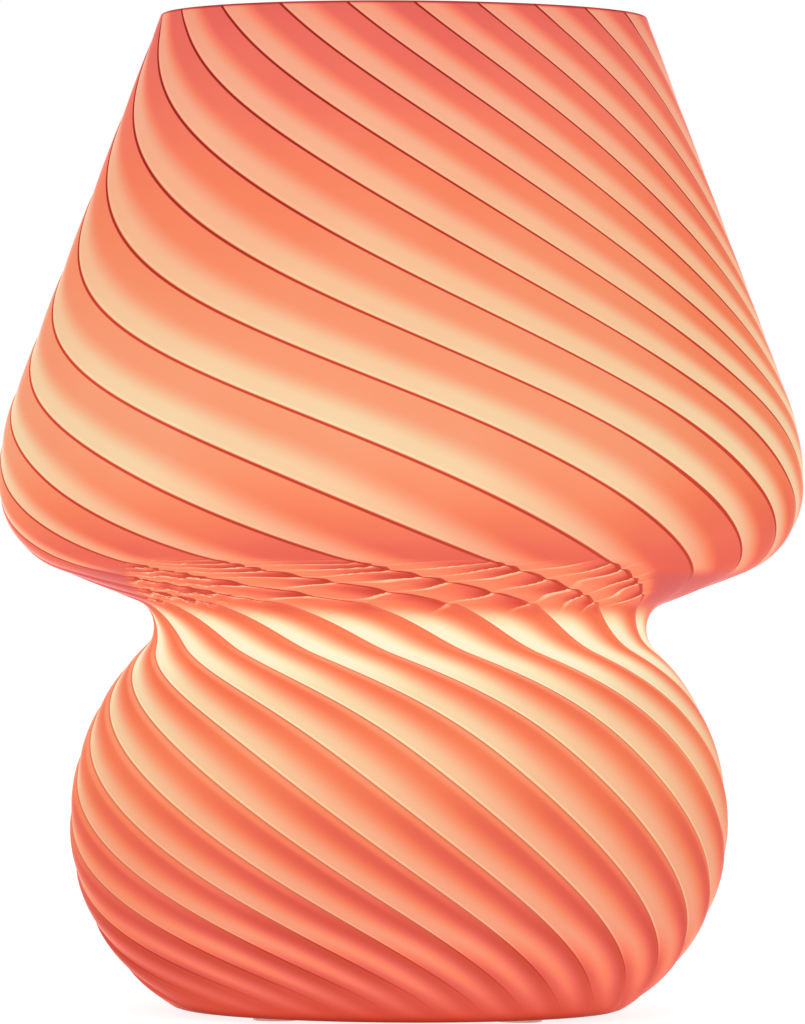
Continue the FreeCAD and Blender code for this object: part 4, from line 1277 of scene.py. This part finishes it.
        # Painted shade under the lip: the stripes fade to an even, duller level, less so at the left,
        # tinted mauve at the sides.
        under = graph.times(graph.span(spot.down, 132, 139.5),
                            graph.span(spot.down, 153, 162, 0.85, 0.0))
        sides = graph.larger(graph.span(spot.across, 45, 58), graph.drop(spot.across, -60, -48))
        even = graph.times(under, graph.span(spot.left, 0.0, 1.0, 1.0, 0.6))
        level = graph.between(even, self.stripes(graph, spot), graph.span(sides, 0.2, 0.9, 0.42, 0.385))
        here, folds, edge = self.folds(graph, spot)
        dark = graph.larger(self.lines(graph, spot), graph.times(edge, 0.6))
        level = graph.between(dark, graph.between(here, level, folds), self.read(graph, spot, "line"))
        seam = graph.times(dark, graph.span(spot.down, 162, 180), graph.drop(spot.down, 222, 240))
        painted_lip_shade = graph.times(under, sides, graph.span(here, 0.0, 0.8, 0.65, 0.0))
        return Shade(graph.between(graph.drop(spot.down, 0.3, 0.78), level, self.rim), here, seam, painted_lip_shade)

    def even_light(self, graph: Graph, spot: Spot) -> Shade:
        """Work out how much light comes through the inside, the rim's top and the underside.

        Args:
            graph: The material being built.
            spot: The place.

        Returns:
            What the place shows, which is the light alone.
        """
        wave = graph.times(graph.number("SINE", graph.times(spot.number, 2 * math.pi)), 0.07)
        middle = graph.between(0.5, self.read(graph, spot, "clear"), self.read(graph, spot, "coloured"))
        level = graph.number("ADD", middle, wave, clamp=True)
        rim = self.ground_rim if self.skin is Skin.GROUND else self.rim
        return Shade(graph.between(graph.drop(spot.down, 0.18, 0.72), level, rim))

    def material(self) -> bpy.types.Material:
        """Build the material.

        Returns:
            The material: light through the glass as glow, and its own colour under a thin gloss.
        """
        graph = Graph(self.name)
        drift = graph.span(graph.noise(26.0, 2.0), 0.3, 0.7, -0.012, 0.012)
        spot = self.spot(graph)
        shade = (self.light if self.skin is Skin.OUTSIDE else self.even_light)(graph, spot)
        level = graph.number("ADD", shade.level, drift, clamp=True)
        shine, rose = (graph.ramp(level, [(at, linear(code)) for at, code in scale])
                       for scale in (self.shine, self.rose))
        warm = graph.larger(self.read(graph, spot, "warm"), graph.times(shade.folds, 0.6))
        colour = graph.blend(warm, rose, shine)
        colour = graph.blend(graph.times(shade.seam, 0.5), colour, linear(self.seam))
        # Painted shade under the lip's two sides, tinted mauve.
        colour = graph.blend(shade.painted_lip_shade, colour, linear(self.painted_lip_shade))
        own = (self.body, self.body, self.body, 1.0)
        ground = self.skin is Skin.GROUND
        rough = graph.span(graph.noise(900.0 if ground else 55.0, 3.0 if ground else 2.0), 0.3, 0.7,
                           0.4 if ground else 0.15, 0.6 if ground else 0.24)
        graph.set(Base_Color=graph.blend(1.0, colour, own, "MULTIPLY"), Roughness=rough,
                  Emission_Color=graph.blend(1.0, colour, self.read(graph, spot, "lit"), "MULTIPLY"),
                  Emission_Strength=self.glow, IOR=1.45, Specular_IOR_Level=0.001)
        graph.bump(graph.noise(40.0, 2.0), 0.00012)
        return graph.material


# ---------------------------------------------------------------- the bulb, the holder and the stand


@dataclass
class Bulb:
    """The bulb's globe, which glows evenly, deeper in colour below than above.

    Foot and middle are the heights in millimetres between which the deeper colour fades.
    """

    glow: float = 1.0
    colour: str = "fff3d6"
    deeper: str = "ffe2ae"
    foot: float = 101.0
    middle: float = 118.0

    def dress(self, nodes: dict[str, bpy.types.Object]) -> None:
        """Give the globe its glow.

        Args:
            nodes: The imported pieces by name.
        """
        graph = Graph("opal globe")
        haze = graph.span(graph.noise(70.0, 2.0), 0.3, 0.7, 0.0, 0.25)
        low = graph.drop(graph.parts(graph.place())[2], self.foot * MM, self.middle * MM)
        colour = graph.blend(graph.larger(haze, low), linear(self.colour), linear(self.deeper))
        graph.set(Base_Color=colour, Emission_Color=colour, Emission_Strength=self.glow,
                  Roughness=graph.span(graph.noise(300.0, 2.0), 0.3, 0.7, 0.22, 0.34))
        graph.bump(graph.noise(500.0, 2.0), 0.00002)
        paint(nodes["bulb_diffuser"], graph.material)


@dataclass
class Fittings:
    """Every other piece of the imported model, with the finish of its own slot."""

    slots: dict[str, str]

    def dress(self, nodes: dict[str, bpy.types.Object]) -> None:
        """Give each piece its finish.

        Args:
            nodes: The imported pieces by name.
        """
        made = {}
        for node, slot in self.slots.items():
            if slot not in FINISHES:
                continue
            if slot not in made:
                made[slot] = FINISHES[slot].material()
            paint(nodes[node], made[slot])
            LOG.info("%s: %s", node, FINISHES[slot].name)


def paint(piece: bpy.types.Object, material: bpy.types.Material) -> None:
    """Put one material on a whole piece.

    Args:
        piece: The piece.
        material: The material.
    """
    for slot in piece.material_slots:
        slot.material = material
    if not piece.material_slots:
        piece.data.materials.append(material)


# ---------------------------------------------------------------- studio


def white_rays(tree: bpy.types.NodeTree, path: bpy.types.Node) -> Socket:
    """Tell the rays that see the white surroundings: from the camera, a gloss or through glass.

    Args:
        tree: The node tree of the floor or the world.
        path: Its Light Path node.

    Returns:
        1 for such a ray and 0 for others.
    """
    found = path.outputs["Is Camera Ray"]
    for name in ("Is Glossy Ray", "Is Transmission Ray"):
        either = tree.nodes.new("ShaderNodeMath")
        either.operation = "MAXIMUM"
        tree.links.new(found, either.inputs[0])
        tree.links.new(path.outputs[name], either.inputs[1])
        found = either.outputs[0]
    return found


@dataclass
class Studio:
    """White floor and surroundings, one broad lamp, and the camera at the photograph's angle.

    Distances are in metres, the lens is in millimetres and the camera's roll in degrees. Floor_grey
    is the colour that takes the shadow, floor_glow what brings the floor to white in the picture, and
    world_light the surroundings' strength on the lamp.
    """

    distance: float = 1.705
    aside: float = 0.00036
    eye_level: float = 0.1139
    lens: float = 267.8
    roll: float = 0.36
    shift: float = -0.0082
    lamp_power: float = 25.0
    lamp_side: float = 3.0
    lamp_place: tuple[float, float, float] = (-0.3, -1.9, 2.0)
    lamp_target: tuple[float, float, float] = (0.0, 0.0, 0.1)
    floor_half: float = 12.0
    floor_grey: float = 0.45
    floor_glow: float = 0.85
    world_light: float = 0.50

    def build_camera(self) -> None:
        """Set the camera level with the shade's widest part."""
        data = bpy.data.cameras.new("camera")
        data.sensor_width, data.lens, data.shift_y = 36.0, self.lens, self.shift
        data.clip_start, data.clip_end = 0.05, 50.0
        camera = add_object("camera", data)
        camera.location = (self.aside, -self.distance, self.eye_level)
        camera.rotation_euler = (math.pi / 2, -math.radians(self.roll), 0)
        bpy.context.scene.camera = camera

    def build_lamp(self) -> None:
        """Hang the broad lamp high in front, a little to the left."""
        data = bpy.data.lights.new("soft_lamp", "AREA")
        data.energy, data.size = self.lamp_power, self.lamp_side
        lamp = add_object("soft_lamp", data)
        lamp.location = self.lamp_place
        toward = Vector(self.lamp_target) - lamp.location
        lamp.rotation_euler = toward.to_track_quat("-Z", "Y").to_euler()

    def build_floor(self) -> None:
        """Lay the white floor, which keeps the lamp's shadow."""
        mesh = bpy.data.meshes.new("floor")
        half = self.floor_half
        corners = [(-half, -half, 0), (half, -half, 0), (half, half, 0), (-half, half, 0)]
        mesh.from_pydata(corners, [], [(0, 1, 2, 3)])
        floor = add_object("floor", mesh)
        material = bpy.data.materials.new("white floor")
        material.use_nodes = True
        tree = material.node_tree
        tree.nodes.clear()
        path = tree.nodes.new("ShaderNodeLightPath")
        matt = tree.nodes.new("ShaderNodeBsdfDiffuse")
        matt.inputs[0].default_value = (self.floor_grey, self.floor_grey, self.floor_grey, 1)
        plain = tree.nodes.new("ShaderNodeEmission")
        seen = tree.nodes.new("ShaderNodeMath")
        seen.operation = "MULTIPLY"
        seen.inputs[1].default_value = self.floor_glow
        tree.links.new(white_rays(tree, path), seen.inputs[0])
        tree.links.new(seen.outputs[0], plain.inputs[1])
        mix = tree.nodes.new("ShaderNodeAddShader")
        tree.links.new(matt.outputs[0], mix.inputs[0])
        tree.links.new(plain.outputs[0], mix.inputs[1])
        output = tree.nodes.new("ShaderNodeOutputMaterial")
        tree.links.new(mix.outputs[0], output.inputs[0])
        mesh.materials.append(material)

    def build_world(self) -> None:
        """Surround the scene with white, which lights it at less strength than it is seen at."""
        world = bpy.data.worlds.new("white")
        bpy.context.scene.world = world
        world.use_nodes = True
        tree = world.node_tree
        back = tree.nodes["Background"]
        back.inputs[0].default_value = (1, 1, 1, 1)
        path = tree.nodes.new("ShaderNodeLightPath")
        strength = tree.nodes.new("ShaderNodeMapRange")
        strength.inputs["To Min"].default_value = self.world_light
        strength.inputs["To Max"].default_value = 1.0
        tree.links.new(white_rays(tree, path), strength.inputs[0])
        tree.links.new(strength.outputs[0], back.inputs[1])

    def build(self) -> None:
        """Set up everything round the lamp."""
        self.build_camera()
        self.build_lamp()
        self.build_floor()
        self.build_world()
        bpy.context.scene.view_settings.view_transform = "Standard"


def main() -> None:
    """Build the looks piece by piece."""
    logging.basicConfig(level=logging.INFO, format="%(message)s", stream=sys.stdout)
    for item in list(bpy.data.objects):
        bpy.data.objects.remove(item)
    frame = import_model()
    Studio().build()

    body = GlassBody()
    glass = body.build()
    body.drill(glass)
    body.dress(glass)
    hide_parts("glass_body")
    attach(glass, "lamp")
    LOG.info("glass_swirl: %d faces", len(glass.data.polygons))

    slots = {part["node"]: part["material_slot"] for part in frame["record"]["subparts"]}
    Fittings(slots).dress(frame["nodes"])
    Bulb().dress(frame["nodes"])
    LOG.info("bulb_diffuser: glowing globe")


if __name__ == "__main__":
    main()
